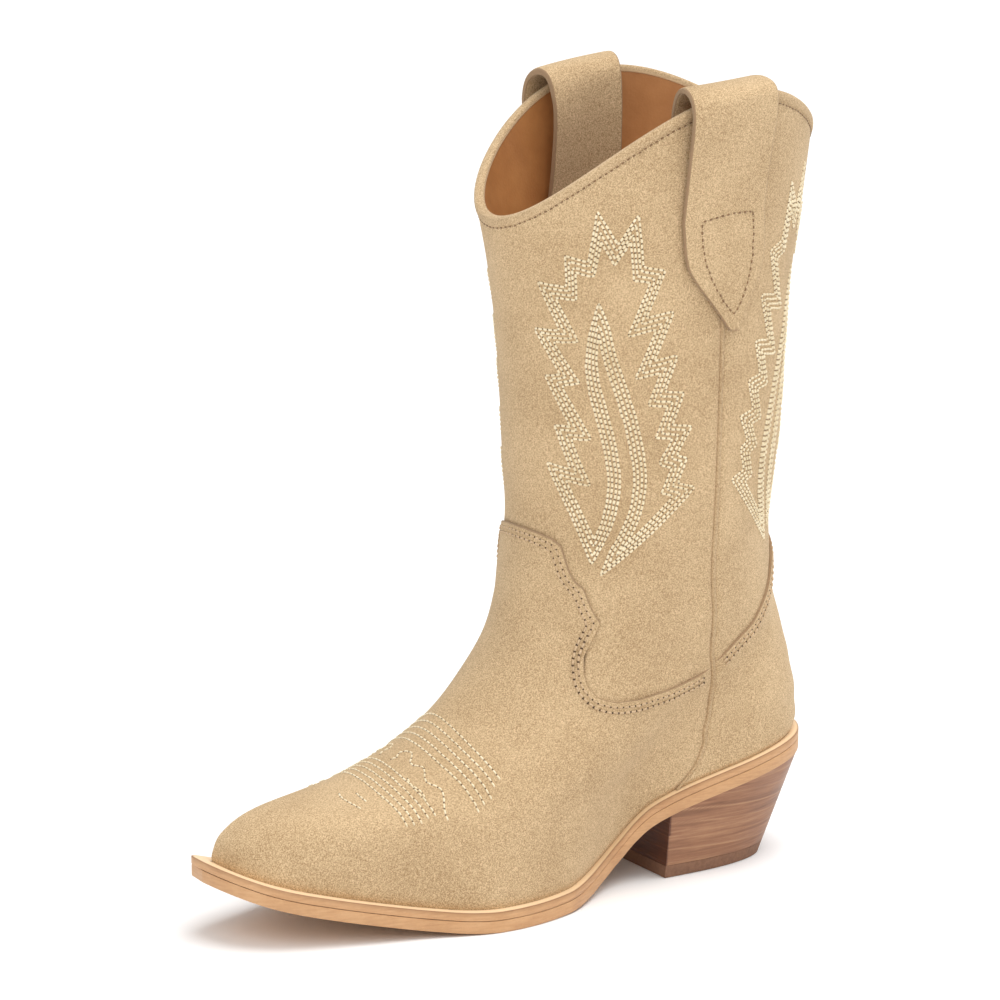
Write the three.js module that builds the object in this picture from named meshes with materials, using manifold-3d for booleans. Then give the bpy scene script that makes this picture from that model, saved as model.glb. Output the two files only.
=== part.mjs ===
// A women's western boot for the left foot: pointed toe, scalloped shaft, two pull straps,
// welted sole with toe spring and a stacked block heel.
// Frame: millimetres, +X to the toe, +Y to the outer (left) side, +Z up.
// The origin is on the floor under the middle of the heel top lift.
import * as THREE from 'three';
import * as BufferGeometryUtils from 'three/addons/utils/BufferGeometryUtils.js';
import Module from 'manifold-3d';

const wasm = await Module();
wasm.setup();

// ---------------------------------------------------------------- driving dimensions
const GAP = 0.3;                // clearance between touching pieces
const LEATHER = 1.6;            // thickness of the outer leather
const STIFFENER = 1.1;          // thickness of the toe puff and the heel counter
const LINING = 0.9;             // thickness of the lining leather
const OUTSOLE = 4.5;
const WELT = 3.2;
const LAYER_GAP = 0.75;         // clearance between the curved layers of the upper
const SOLE_GAP = 0.5;           // clearance between the layers of the bottom, which bend at the arch
const INSOLE_BOARD = 2.2;
const SOCK_LINER = 1.5;
const SHANK = { from: -2, to: 86, width: 12, thickness: 1.2 };
const CORK = { from: 92, to: 204 };
const TOP_LIFT = 5;
const HEEL = { front: 28.5, back: -27.8, halfWidth: 24.5, squareness: 2.7, inset: 0.4 };
const STRAP = { width: 38, thickness: 2.2, standOff: 0.7, loopRise: 9, top: 318, inside: 58, outside: 82 };
// Where each strap sits round the upper, and how much its loop falls towards the toe.
const OUTER_STRAP = { side: 1, centre: 0.24, fall: 0.08 };
const INNER_STRAP = { side: -1, centre: 0.256, fall: 0.14 };
const PIPING = { width: 1.6, raised: 0.5 };
const BINDING = { thickness: 0.9, depth: 4.2 };

// The outline of the upper seen from the side: each list runs from the sole up to the top line.
const FRONT_LINE = [
  [212.5, 31], [209, 41.5], [196, 50], [164.5, 57], [140.5, 63.5], [121.5, 72], [107.5, 84], [93.5, 100],
  [87, 120], [82.5, 143], [83.3, 167], [84, 192], [85.5, 217], [89, 241], [94.4, 265]];
const BACK_LINE = [[-42.5, 51], [-44.5, 56], [-44, 62], [-43.5, 69], [-41.7, 77], [-40, 86], [-36.6, 97],
  [-32.8, 110], [-29.8, 127], [-28.8, 149], [-31.5, 174], [-33, 201], [-35, 229], [-40.2, 258], [-44.5, 290]];
// Half widths of the upper from heel to toe, at five heights. The foot part is wider on the outer side.
const WIDTH_LEVELS = [0, 0.2, 0.45, 0.7, 1];
const ANKLE_WIDTHS = [38, 38, 37, 37, 37, 38, 38, 38, 37];
const CALF_WIDTHS = Array(9).fill(44);
const TOP_WIDTHS = Array(9).fill(53);
const OUTER_WIDTHS = [
  [58, 45.5, 31.8, 26.5, 43, 50, 46, 50.5, 66],
  [52, 44, 35, 33, 40, 45, 45, 46, 46], ANKLE_WIDTHS, CALF_WIDTHS, TOP_WIDTHS];
const INNER_WIDTHS = [
  [58, 45.5, 32.3, 28.4, 31, 39, 43, 30, 15],
  [52, 44, 35, 32, 35, 41, 42, 34, 24], ANKLE_WIDTHS, CALF_WIDTHS, TOP_WIDTHS];
// The toe swings this far to the inner side, from the ball to the tip.
const TOE_SWING = { distance: 4, from: 150, to: 220 };
const SCALLOP_RISE = 34;
// Height of the tread along the boot: heel seat, arch, ball on the floor, toe spring.
const TREAD_LINE = [
  [-46, 43.3], [-20, 39.5], [0, 35.2], [15, 31], [28, 26.7], [37, 22.6], [44, 17.5], [51, 11.5],
  [60, 5.8], [70, 2.4], [85, 0.4], [105, 0], [118, 0], [130, 0.6], [145, 2.6], [160, 5.6],
  [184, 11], [203, 16], [228, 25.5]];
// Ledge of the sole outside the upper, from heel to toe.
const LEDGE = [3, 2, 2, 2, 2.4, 3, 3.4, 4.6, 9.5];
// Position of the side seam round the upper, and the upper edges of the vamp and of the heel foxing.
const SIDE_SEAM = [
  [0, 0.17], [0.06, 0.162], [0.12, 0.161], [0.2, 0.172], [0.39, 0.196], [0.51, 0.21], [0.65, 0.224],
  [0.8, 0.23], [1, 0.235]];
const VAMP_EDGE = [[0, 0.389], [0.06, 0.368], [0.11, 0.363], [0.165, 0.375], [0.2, 0.403], [0.23, 0.46],
  [0.255, 0.525], [0.28, 0.563], [0.32, 0.6], [0.35, 0.625], [0.39, 0.637], [0.5, 0.648]];
const FOXING_EDGE = [
  [0, 0.4], [0.07, 0.439], [0.13, 0.465], [0.18, 0.495], [0.25, 0.527], [0.35, 0.57], [0.5, 0.6]];

// Grid of the upper: columns round the front and the back, and how many of them the stiffeners leave free.
const FRONT_COLUMNS = 40;
const BACK_COLUMNS = 18;
const PUFF = { from: 12, rows: 4 };
const COUNTER = { from: 1, rows: 4 };

// ---------------------------------------------------------------- curves
const clamp = THREE.MathUtils.clamp;
const lerp = THREE.MathUtils.lerp;

// Smooth curve through evenly spaced numbers, t from 0 to 1.
function spline(values, t) {
  const last = values.length - 1;
  const s = clamp(t, 0, 1) * last;
  const i = Math.min(Math.floor(s), last - 1);
  const f = s - i;
  const p1 = values[i];
  const p2 = values[i + 1];
  const p0 = i > 0 ? values[i - 1] : 2 * p1 - p2;
  const p3 = i + 2 <= last ? values[i + 2] : 2 * p2 - p1;
  const bend = (2 * p0 - 5 * p1 + 4 * p2 - p3) * f * f + (3 * p1 - p0 - 3 * p2 + p3) * f * f * f;
  return 0.5 * (2 * p1 + (p2 - p0) * f + bend);
}

// Smooth curve through [x, y] points that never overshoots them.
function monotone(points, x) {
  const last = points.length - 1;
  const at = clamp(x, points[0][0], points[last][0]);
  let i = 0;
  while (i < last - 1 && at > points[i + 1][0]) i += 1;
  const step = (k) => points[k + 1][0] - points[k][0];
  const slope = (k) => (points[k + 1][1] - points[k][1]) / step(k);
  const tangent = (k) => {
    if (k === 0) return slope(0);
    if (k === last) return slope(last - 1);
    if (slope(k - 1) * slope(k) <= 0) return 0;
    const w1 = 2 * step(k) + step(k - 1);
    const w2 = step(k) + 2 * step(k - 1);
    return (w1 + w2) / (w1 / slope(k - 1) + w2 / slope(k));
  };
  const h = step(i);
  const f = (at - points[i][0]) / h;
  const blend = f * f * (3 - 2 * f);
  const rise = h * (f * (1 - f) * (1 - f) * tangent(i) - f * f * (1 - f) * tangent(i + 1));
  return lerp(points[i][1], points[i + 1][1], blend) + rise;
}

const treadHeight = (x) => monotone(TREAD_LINE, x);
const weltTop = OUTSOLE + SOLE_GAP + WELT;
const featherHeight = (x) => treadHeight(x) + weltTop + SOLE_GAP;

// ---------------------------------------------------------------- the surface of the upper
// u runs round the boot: 0 at the back, 0.25 on the outer side, 0.5 at the toe, 0.75 on the inner side.
// v runs from the sole (0) to the top line (1).
function upper(u, v) {
  const angle = 2 * Math.PI * u;
  const along = (1 - Math.cos(angle)) / 2;
  const line = (points, k) => spline(points.map((p) => p[k]), v);
  const back = new THREE.Vector2(line(BACK_LINE, 0), line(BACK_LINE, 1));
  const front = new THREE.Vector2(line(FRONT_LINE, 0), line(FRONT_LINE, 1));
  const x = lerp(back.x, front.x, along);
  const widths = Math.sin(angle) >= 0 ? OUTER_WIDTHS : INNER_WIDTHS;
  const halfWidth = monotone(WIDTH_LEVELS.map((level, i) => [level, spline(widths[i], along)]), v);
  let z = lerp(back.y, front.y, along);
  const nearSole = Math.max(0, 1 - v / 0.45) ** 2;
  z += nearSole * (featherHeight(x) - lerp(BACK_LINE[0][1], FRONT_LINE[0][1], along));
  const nearTop = THREE.MathUtils.smoothstep(v, 0.55, 1);
  z += nearTop * SCALLOP_RISE * 4 * along * (1 - along) * (1.125 - 0.25 * along);
  const swing = TOE_SWING.distance * THREE.MathUtils.smoothstep(x, TOE_SWING.from, TOE_SWING.to);
  return new THREE.Vector3(x, Math.sin(angle) * halfWidth - swing, z);
}

function outward(u, v) {
  const d = 0.004;
  const across = upper(u + d, v).sub(upper(u - d, v));
  const up = upper(u, Math.min(v + d, 1)).sub(upper(u, Math.max(v - d, 0)));
  return up.cross(across).normalize();
}

// A point at a depth below the surface, with negative depths outside it.
// Down at the sole the layers lie side by side on the welt.
function skin(u, v, depth) {
  const p = upper(u, v);
  const onWelt = 1 - THREE.MathUtils.smoothstep(v, 0, 0.1);
  const out = outward(u, v);
  const level = new THREE.Vector3(out.x, out.y, 0).normalize();
  const moved = p.clone().addScaledVector(out.lerp(level, onWelt), -depth);
  moved.z += onWelt * (featherHeight(moved.x) - featherHeight(p.x));
  return moved;
}

const perU = (u, v) => upper(u + 0.004, v).distanceTo(upper(u - 0.004, v)) / 0.008;
const perV = (u, v) => upper(u, Math.min(v + 0.01, 1)).distanceTo(upper(u, Math.max(v - 0.01, 0))) / 0.02;

const seamAt = (v) => monotone(SIDE_SEAM, v);
const mirrored = (edge, q) => monotone(edge, 0.5 - Math.abs(q - 0.5));

// Front pieces run from the outer seam over the toe to the inner seam, q from 0 to 1.
const frontU = (q, v, margin) => {
  const edge = seamAt(v) + margin / perU(seamAt(v), v);
  return lerp(edge, 1 - edge, q);
};
// Back pieces run from the inner seam round the heel to the outer seam, q from 0 to 1.
const backU = (q, v, margin) => {
  const edge = seamAt(v) - margin / perU(seamAt(v), v);
  return lerp(-edge, edge, q);
};

// ---------------------------------------------------------------- solids
function weld(geometry) {
  geometry.deleteAttribute('normal');
  geometry.deleteAttribute('uv');
  return BufferGeometryUtils.mergeVertices(geometry, 1e-4);
}

// A box of nx by ny by nz cells whose points are moved by place(a, b, c), each from 0 to 1.
function bentBox(nx, ny, nz, place) {
  const geometry = new THREE.BoxGeometry(1, 1, 1, nx, ny, nz);
  const at = geometry.attributes.position;
  for (let i = 0; i < at.count; i += 1) {
    const p = place(at.getX(i) + 0.5, at.getY(i) + 0.5, at.getZ(i) + 0.5);
    at.setXYZ(i, p.x, p.y, p.z);
  }
  return weld(geometry);
}

// A closed ring whose section is the profile; place(turn, r, h) moves its points, turn from 0 to 1.
function bentRing(profile, segments, place) {
  const geometry = new THREE.LatheGeometry(profile.map((p) => new THREE.Vector2(p[0], p[1])), segments);
  const at = geometry.attributes.position;
  for (let i = 0; i < at.count; i += 1) {
    const turn = -Math.atan2(at.getX(i), at.getZ(i)) / (2 * Math.PI);
    const p = place(turn, Math.hypot(at.getX(i), at.getZ(i)), at.getY(i));
    at.setXYZ(i, p.x, p.y, p.z);
  }
  return weld(geometry);
}

// Columns stand closer together near the side seams, where the sole bends most.
const spread = (q) => q - 0.03 * Math.sin(4 * Math.PI * q);

// A sheet of the upper between two edges, from one depth to another. Its rows crowd towards the sole.
function sheet({ uAt, low, high, outerDepth, innerDepth, columns, rows, margin, lowGap, highGap, crowd = 1,
  q0 = 0, q1 = 1, share = 1 }) {
  return bentBox(columns, rows, 1, (a, b, c) => {
    const q = spread(lerp(q1, q0, a));
    const bottom = low(q) + lowGap / perV(uAt(q, low(q), margin), low(q));
    const top = high(q) - highGap / perV(uAt(q, high(q), margin), high(q));
    const v = lerp(bottom, top, (b * share) ** crowd);
    return skin(uAt(q, v, margin), v, lerp(innerDepth, outerDepth, c));
  });
}

// ---------------------------------------------------------------- plan outlines of the sole
const ledge = (u) => spline(LEDGE, (1 - Math.cos(2 * Math.PI * u)) / 2);

// A plan point at a distance outside the line where the upper meets the sole.
function planPoint(u, distance) {
  const d = 0.002;
  const along = upper(u + d, 0).sub(upper(u - d, 0));
  const out = new THREE.Vector2(-along.y, along.x).normalize();
  const p = upper(u, 0);
  return new THREE.Vector2(p.x + out.x * distance, p.y + out.y * distance);
}

const BLUNT = 0.012;            // how far from each tip the two side outlines stop

// A layer of the sole between two heights above the tread.
function soleLayer({ distance, low, high, from = BLUNT, to = 0.5 - BLUNT, columns, rows }) {
  return bentBox(columns, rows, 1, (a, b, c) => {
    const u = lerp(from, to, a);
    const outer = planPoint(u, distance(u));
    const inner = planPoint(-u, distance(-u));
    const p = inner.lerp(outer, b);
    return new THREE.Vector3(p.x, p.y, treadHeight(p.x) + lerp(low, high, c));
  });
}

// The u value where the side outline reaches a given x.
function uAtX(x) {
  let low = 0;
  let high = 0.5;
  for (let i = 0; i < 30; i += 1) {
    const middle = (low + high) / 2;
    if (upper(middle, 0).x < x) low = middle;
    else high = middle;
  }
  return low;
}

// ---------------------------------------------------------------- heel
const soleEdge = (u) => planPoint(u, ledge(u) - HEEL.inset);

function heelPoint(s, side, z) {
  const u = lerp(uAtX(HEEL.front), BLUNT, s);
  const top = soleEdge(-u).lerp(soleEdge(u), side);
  const turn = s * Math.PI * 0.46;
  const power = 2 / HEEL.squareness;
  const bottomX = HEEL.front - (HEEL.front - HEEL.back) * Math.sin(turn) ** power;
  const bottomY = HEEL.halfWidth * Math.cos(turn) ** power * (1 - 0.06 * s) * (2 * side - 1);
  const full = treadHeight(top.x) - GAP;
  const share = z / full;
  return new THREE.Vector3(lerp(bottomX, top.x, share), lerp(bottomY, top.y, share), z);
}

function heelSlice(columns, rows, layers, low, high) {
  return bentBox(columns, rows, layers, (a, b, c) => {
    const s = 1 - a;
    const u = lerp(uAtX(HEEL.front), BLUNT, s);
    const full = treadHeight(soleEdge(-u).lerp(soleEdge(u), b).x) - GAP;
    return heelPoint(s, b, lerp(low, high ?? full, c));
  });
}

// ---------------------------------------------------------------- pull straps
const STRAP_REACH = 410;        // millimetres of height for one unit of v near the top line

// A point n outside the wall, at a height above (or below) the top line.
function strapBase({ side, centre, fall }, u, n, height) {
  const v = Math.min(1, 1 + height / STRAP_REACH);
  const p = skin(u, v, -n);
  const top = STRAP.top - fall * (p.x - upper(side * centre, 1).x);
  if (height > 0) p.z = lerp(p.z, top, height / STRAP.loopRise);
  return p;
}

// The middle line of a strap: distance from the wall and height from the top line.
const strapIn = -(LEATHER + LAYER_GAP + LINING + LAYER_GAP + STRAP.thickness / 2);
const strapOut = STRAP.standOff + STRAP.thickness / 2;
const strapTop = STRAP.loopRise - STRAP.thickness / 2;
const STRAP_PATH = [[strapOut, -STRAP.outside], [strapOut, -66], [strapOut, -50], [strapOut + 0.3, -34],
  [strapOut + 1.8, -19], [strapOut + 3.4, -7], [strapOut + 3.2, 1], [strapOut + 0.6, 5.6], [-3.6, strapTop],
  [-9.4, 5.6], [strapIn - 7.6, -1.5], [strapIn - 7.2, -12], [strapIn - 4.4, -26], [strapIn - 1.2, -42],
  [strapIn, -STRAP.inside]];
// Half width of a strap from the pointed outside end upwards.
const STRAP_TIP = [[-82, 2], [-79, 6], [-72, 11.5], [-62, 16.5], [-52, 19], [0, 19]];

const STRAP_LEAN = 0.0002;      // how far the pointed end swings back, in u for each millimetre

function strap(place) {
  const line = (k, t) => spline(STRAP_PATH.map((p) => p[k]), t);
  return bentBox(5, 38, 1, (a, b, c) => {
    const n = line(0, b);
    const height = line(1, b);
    const along = (axis) => line(axis, b + 0.01) - line(axis, b - 0.01);
    const ahead = new THREE.Vector2(along(0), along(1));
    ahead.normalize();
    const lift = (c - 0.5) * STRAP.thickness;
    const half = b < 0.4 ? monotone(STRAP_TIP, height) : STRAP.width / 2;
    const v = Math.min(1, 1 + height / STRAP_REACH);
    const lean = b < 0.4 ? Math.min(0, (height + 40) * STRAP_LEAN) : 0;
    const u = place.side * (place.centre + lean) + ((0.5 - a) * 2 * half) / perU(place.centre, v);
    return strapBase(place, u, n + ahead.y * lift, height - ahead.x * lift);
  });
}

// ---------------------------------------------------------------- heel fasteners
const SEAT_SLOPE = 0.2;         // the heel seat falls this much towards the toe
const FASTENERS = [{ name: 'heel_screw', x: -14, y: 0, pin: 2.1, head: 4, length: 26 },
  { name: 'heel_nail_back_outer', x: -27, y: 9, pin: 1.1, head: 2.4, length: 22 },
  { name: 'heel_nail_back_inner', x: -27, y: -9, pin: 1.1, head: 2.4, length: 22 },
  { name: 'heel_nail_front_outer', x: 6, y: 15, pin: 1.1, head: 2.4, length: 18 },
  { name: 'heel_nail_front_inner', x: 6, y: -15, pin: 1.1, head: 2.4, length: 18 }];
const HEAD = 1.1;               // thickness of a fastener's head
const boardTop = weltTop + SOLE_GAP + INSOLE_BOARD;

// A fastener as a lathed pin with a flat head, standing square to the heel seat.
function pinGeometry({ x, y, pin, head, length }, clearance) {
  const top = clearance ? 2 : 0;
  const profile = [
    [0, -length - clearance], [pin + clearance, -length - clearance], [pin + clearance, -HEAD - clearance],
    [head + clearance, -HEAD - clearance], [head + clearance, top], [0, top]];
  const geometry = new THREE.LatheGeometry(profile.map((p) => new THREE.Vector2(p[0], p[1])), 12);
  geometry.rotateX(Math.PI / 2);
  geometry.rotateY(Math.atan(SEAT_SLOPE));
  geometry.translate(x, y, treadHeight(x) + boardTop - 0.3);
  return weld(geometry);
}

function solid(geometry) {
  const mesh = new wasm.Mesh({
    numProp: 3,
    vertProperties: new Float32Array(geometry.attributes.position.array),
    triVerts: new Uint32Array(geometry.index.array),
  });
  mesh.merge();
  return new wasm.Manifold(mesh);
}

// Cuts the clearance holes of all fasteners out of a piece.
function drilled(geometry) {
  let body = solid(geometry);
  for (const fastener of FASTENERS) body = body.subtract(solid(pinGeometry(fastener, GAP)));
  const { vertProperties, triVerts } = body.getMesh();
  const cut = new THREE.BufferGeometry();
  cut.setAttribute('position', new THREE.BufferAttribute(new Float32Array(vertProperties), 3));
  cut.setIndex(new THREE.BufferAttribute(new Uint32Array(triVerts), 1));
  return cut;
}

// ---------------------------------------------------------------- materials
const look = (color, roughness, metalness = 0) => ({ color, roughness, metalness });
const SUEDE = look(0xcbb28a, 0.95);
const LINING_LEATHER = look(0xa9713f, 0.5);
const SOLE_LEATHER = look(0xcda06c, 0.55);
const STACKED = look(0x96684e, 0.5);
const RUBBER = look(0x5f4434, 0.8);
const FIBRE = look(0xb9a98c, 0.9);
const CORK_MIX = look(0x8c5f38, 0.95);
const STEEL = look(0x9a9da0, 0.35, 1);

const boot = new THREE.Group();

function add(name, geometry, material) {
  const mesh = new THREE.Mesh(geometry, new THREE.MeshStandardMaterial(material));
  mesh.name = name;
  boot.add(mesh);
}

// ---------------------------------------------------------------- outer leather
const seamMargin = PIPING.width / 2 + 2 * GAP;
const outerLeather = { outerDepth: 0, innerDepth: LEATHER, margin: seamMargin, lowGap: 0, highGap: 0 };
const vampEdge = (q) => mirrored(VAMP_EDGE, q);
const foxingEdge = (q) => mirrored(FOXING_EDGE, q);
const sole = () => 0;
const topLine = () => 1;

const vampGrid = { uAt: frontU, low: sole, high: vampEdge, columns: FRONT_COLUMNS, rows: 9, crowd: 1.4 };
const foxingGrid = { uAt: backU, low: sole, high: foxingEdge, columns: BACK_COLUMNS, rows: 6, crowd: 1.2 };
const frontGrid = { uAt: frontU, low: vampEdge, high: topLine, columns: FRONT_COLUMNS, rows: 8, crowd: 1.4 };
const backGrid = { uAt: backU, low: foxingEdge, high: topLine, columns: BACK_COLUMNS, rows: 7, crowd: 1.2 };

add('vamp', sheet({ ...vampGrid, ...outerLeather }), SUEDE);
add('heel_foxing', sheet({ ...foxingGrid, ...outerLeather }), SUEDE);
add('front_shaft_panel', sheet({ ...frontGrid, ...outerLeather, lowGap: 0.8, highGap: GAP }), SUEDE);
add('back_shaft_panel', sheet({ ...backGrid, ...outerLeather, lowGap: 0.8, highGap: GAP }), SUEDE);

function piping(side) {
  return bentBox(1, 24, 1, (a, b, c) => {
    const v = lerp(0, 0.997, b);
    const across = ((0.5 - a) * PIPING.width) / perU(seamAt(v), v);
    return skin(side * seamAt(v) + across, v, lerp(LEATHER, -PIPING.raised, c));
  });
}
add('outer_side_piping', piping(1), SUEDE);
add('inner_side_piping', piping(-1), SUEDE);

// The binding is folded over the top edge: its section is an upside-down U round leather and lining.
function topBinding() {
  const lining = LEATHER + LAYER_GAP + LINING;
  const t = BINDING.thickness;
  const outer = 10 + 0.8 + t;
  const inner = 10 - lining - SOLE_GAP - t;
  const profile = [
    [outer, -BINDING.depth], [outer, 0.6], [outer - 0.7, 1.1 + GAP], [inner + 0.7, 1.1 + GAP], [inner, 0.6],
    [inner, -BINDING.depth], [inner + t, -BINDING.depth], [inner + t, GAP], [outer - t, GAP],
    [outer - t, -BINDING.depth], [outer, -BINDING.depth]];
  return bentRing(profile, 60, (turn, r, h) => {
    const p = skin(turn, Math.min(1, 1 + h / STRAP_REACH), 10 - r);
    p.z += Math.max(h, 0);
    return p;
  });
}
add('top_binding', topBinding(), SUEDE);

// ---------------------------------------------------------------- inside of the upper
const shaftLining = LEATHER + LAYER_GAP;
const footLining = shaftLining + STIFFENER + LAYER_GAP;
const inFoot = {
  outerDepth: footLining, innerDepth: footLining + LINING, margin: seamMargin, lowGap: 0, highGap: 0,
};
const inShaft = {
  outerDepth: shaftLining, innerDepth: shaftLining + LINING, margin: seamMargin, lowGap: 0.8, highGap: GAP,
};
const between = {
  outerDepth: shaftLining, innerDepth: shaftLining + STIFFENER, margin: seamMargin, lowGap: 0, highGap: 0,
};

add('vamp_lining', sheet({ ...vampGrid, ...inFoot }), LINING_LEATHER);
add('heel_lining', sheet({ ...foxingGrid, ...inFoot }), LINING_LEATHER);
add('front_shaft_lining', sheet({ ...frontGrid, ...inShaft }), LINING_LEATHER);
add('back_shaft_lining', sheet({ ...backGrid, ...inShaft }), LINING_LEATHER);
// The stiffeners follow the lowest rows of the leather that covers them.
add('toe_puff', sheet({
  ...vampGrid, ...between, q0: PUFF.from / FRONT_COLUMNS, q1: 1 - PUFF.from / FRONT_COLUMNS,
  columns: FRONT_COLUMNS - 2 * PUFF.from, rows: PUFF.rows, share: PUFF.rows / vampGrid.rows,
}), FIBRE);
add('heel_counter', sheet({
  ...foxingGrid, ...between, q0: COUNTER.from / BACK_COLUMNS, q1: 1 - COUNTER.from / BACK_COLUMNS,
  columns: BACK_COLUMNS - 2 * COUNTER.from, rows: COUNTER.rows, share: COUNTER.rows / foxingGrid.rows,
}), FIBRE);

// ---------------------------------------------------------------- pull straps
add('outer_pull_strap', strap(OUTER_STRAP), SUEDE);
add('inner_pull_strap', strap(INNER_STRAP), SUEDE);

// ---------------------------------------------------------------- bottom
// The board and the sock liner lie inside the lining, which leans inwards at the toe.
const along = (u) => (1 - Math.cos(2 * Math.PI * u)) / 2;
const boardInset = (u) => footLining + LINING + 1.2 + 1.5 * along(u) ** 4;
const linerInset = (u) => boardInset(u) + 0.8 + 3 * along(u) ** 4;
const weltInset = (u) => -Math.min(6, 3 + ledge(u));

function weltRing() {
  const profile = [[1, 0], [1, 1], [0, 1], [0, 0], [1, 0]].map(([r, h]) => [10 + r, h]);
  return bentRing(profile, 84, (turn, r, h) => {
    const p = planPoint(turn, lerp(weltInset(turn), ledge(turn), r - 10));
    return new THREE.Vector3(p.x, p.y, treadHeight(p.x) + lerp(OUTSOLE + SOLE_GAP, weltTop, h));
  });
}

const treadLayer = soleLayer({ distance: ledge, low: 0, high: OUTSOLE, columns: 40, rows: 6 });
add('outsole', drilled(treadLayer), SOLE_LEATHER);
add('welt', weltRing(), SOLE_LEATHER);
add('insole_board', drilled(soleLayer({
  distance: (u) => -boardInset(u), low: weltTop + SOLE_GAP, high: boardTop, columns: 36, rows: 4,
})), FIBRE);
add('sock_liner', soleLayer({
  distance: (u) => -linerInset(u),
  low: boardTop + GAP,
  high: boardTop + GAP + SOCK_LINER,
  columns: 36,
  rows: 4,
}), LINING_LEATHER);
add('cork_filler', soleLayer({
  distance: (u) => weltInset(u) - 0.6,
  low: OUTSOLE + SOLE_GAP,
  high: weltTop,
  from: uAtX(CORK.from),
  to: uAtX(CORK.to),
  columns: 12,
  rows: 4,
}), CORK_MIX);
add('steel_shank', bentBox(16, 2, 1, (a, b, c) => {
  const x = lerp(SHANK.from, SHANK.to, a);
  const z = treadHeight(x) + OUTSOLE + 2 * GAP + c * SHANK.thickness;
  return new THREE.Vector3(x, (b - 0.5) * SHANK.width, z);
}), STEEL);
add('heel_block', drilled(heelSlice(12, 6, 3, TOP_LIFT + GAP)), STACKED);
add('heel_top_lift', heelSlice(12, 6, 1, 0, TOP_LIFT), RUBBER);
for (const fastener of FASTENERS) add(fastener.name, pinGeometry(fastener, 0), STEEL);

export default boot;
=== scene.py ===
"""Looks of the western boot: suede panels, linings, sole, stacked heel and stitching around the CAD frame."""
import math

import bmesh
import bpy
import numpy as np
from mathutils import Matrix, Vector


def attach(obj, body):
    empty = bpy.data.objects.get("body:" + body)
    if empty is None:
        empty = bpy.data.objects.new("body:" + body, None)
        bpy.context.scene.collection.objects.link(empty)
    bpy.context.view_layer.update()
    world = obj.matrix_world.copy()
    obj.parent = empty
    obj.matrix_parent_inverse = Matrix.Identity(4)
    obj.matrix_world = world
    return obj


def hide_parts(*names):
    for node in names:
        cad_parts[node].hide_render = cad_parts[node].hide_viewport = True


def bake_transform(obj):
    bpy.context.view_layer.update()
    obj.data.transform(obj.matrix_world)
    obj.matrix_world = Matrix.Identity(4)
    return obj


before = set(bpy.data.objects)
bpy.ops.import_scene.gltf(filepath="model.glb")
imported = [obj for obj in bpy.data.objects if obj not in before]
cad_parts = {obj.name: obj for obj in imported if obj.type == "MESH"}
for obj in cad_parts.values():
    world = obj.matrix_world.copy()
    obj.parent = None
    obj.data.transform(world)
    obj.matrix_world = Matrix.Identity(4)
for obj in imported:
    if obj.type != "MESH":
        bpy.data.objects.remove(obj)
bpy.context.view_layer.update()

MM = 0.001                      # the surface is worked out in millimetres
rng = np.random.default_rng(11)

# ---- dimensions, in mm, as in the CAD part
LEATHER = 1.6
STIFFENER = 1.1
LINING = 0.9
LAYER_GAP = 0.75
OUTSOLE = 4.5
BOARD_TOP = 10.9
FEATHER_RISE = 8.7
TOP_LIFT = 5.0
HEEL = {"front": 28.5, "back": -27.8, "half_width": 24.5, "squareness": 2.7, "inset": 0.4}
STRAP = {"width": 38.0, "thickness": 2.5, "stand_off": 0.7, "top": 318.0, "rise": 9.0}
OUTER_STRAP = {"side": 1, "centre": 0.24, "fall": 0.08}
INNER_STRAP = {"side": -1, "centre": 0.256, "fall": 0.14}
STRAP_LEAN = 0.00045            # how far the pointed end swings back, in u for each millimetre
REACH = 410.0                   # millimetres of height for one unit of v near the top line
FRONT_LINE = [(215, 31), (210, 41.5), (196, 50), (164.5, 57), (140.5, 63.5), (121.5, 72), (107.5, 84),
              (93.5, 100), (87, 120), (82.5, 143), (83.3, 167), (84, 192), (85.5, 217), (89, 241), (94.4, 265)]
BACK_LINE = [(-42.5, 51), (-44.5, 56), (-44, 62), (-43.5, 69), (-41.7, 77), (-40, 86), (-36.6, 97),
             (-32.8, 110), (-29.8, 127), (-28.8, 149), (-31.5, 174), (-33, 201), (-35, 229), (-40.2, 258),
             (-44.5, 290)]
WIDTH_LEVELS = [0, 0.2, 0.45, 0.7, 1]
ANKLE_WIDTHS = [38, 38, 37, 37, 37, 38, 38, 38, 37]
OUTER_WIDTHS = [[58, 45.5, 31.8, 26.5, 43, 50, 46, 50.5, 66], [52, 44, 35, 33, 40, 45, 45, 46, 46],
                ANKLE_WIDTHS, [44] * 9, [53] * 9]
INNER_WIDTHS = [[58, 45.5, 32.3, 28.4, 31, 39, 43, 30, 15], [52, 44, 35, 32, 35, 41, 42, 34, 24],
                ANKLE_WIDTHS, [44] * 9, [53] * 9]
TREAD_LINE = [(-46, 43.3), (-20, 39.5), (0, 35.2), (15, 31), (28, 26.7), (37, 22.6), (44, 17.5), (51, 11.5),
              (60, 5.8), (70, 2.4), (85, 0.4), (105, 0), (118, 0), (130, 0.6), (145, 2.6), (160, 5.6),
              (184, 11), (203, 16), (228, 25.5)]
LEDGE = [3, 2, 2, 2, 2.4, 3, 3.4, 4.3, 7]
TOE_SWING = {"distance": 4.0, "start": 150.0, "end": 220.0}
SCALLOP_RISE = 34.0
SIDE_SEAM = [(0, 0.17), (0.06, 0.162), (0.12, 0.161), (0.2, 0.172), (0.39, 0.196), (0.51, 0.21), (0.65, 0.224),
             (0.8, 0.23), (1, 0.235)]
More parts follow.
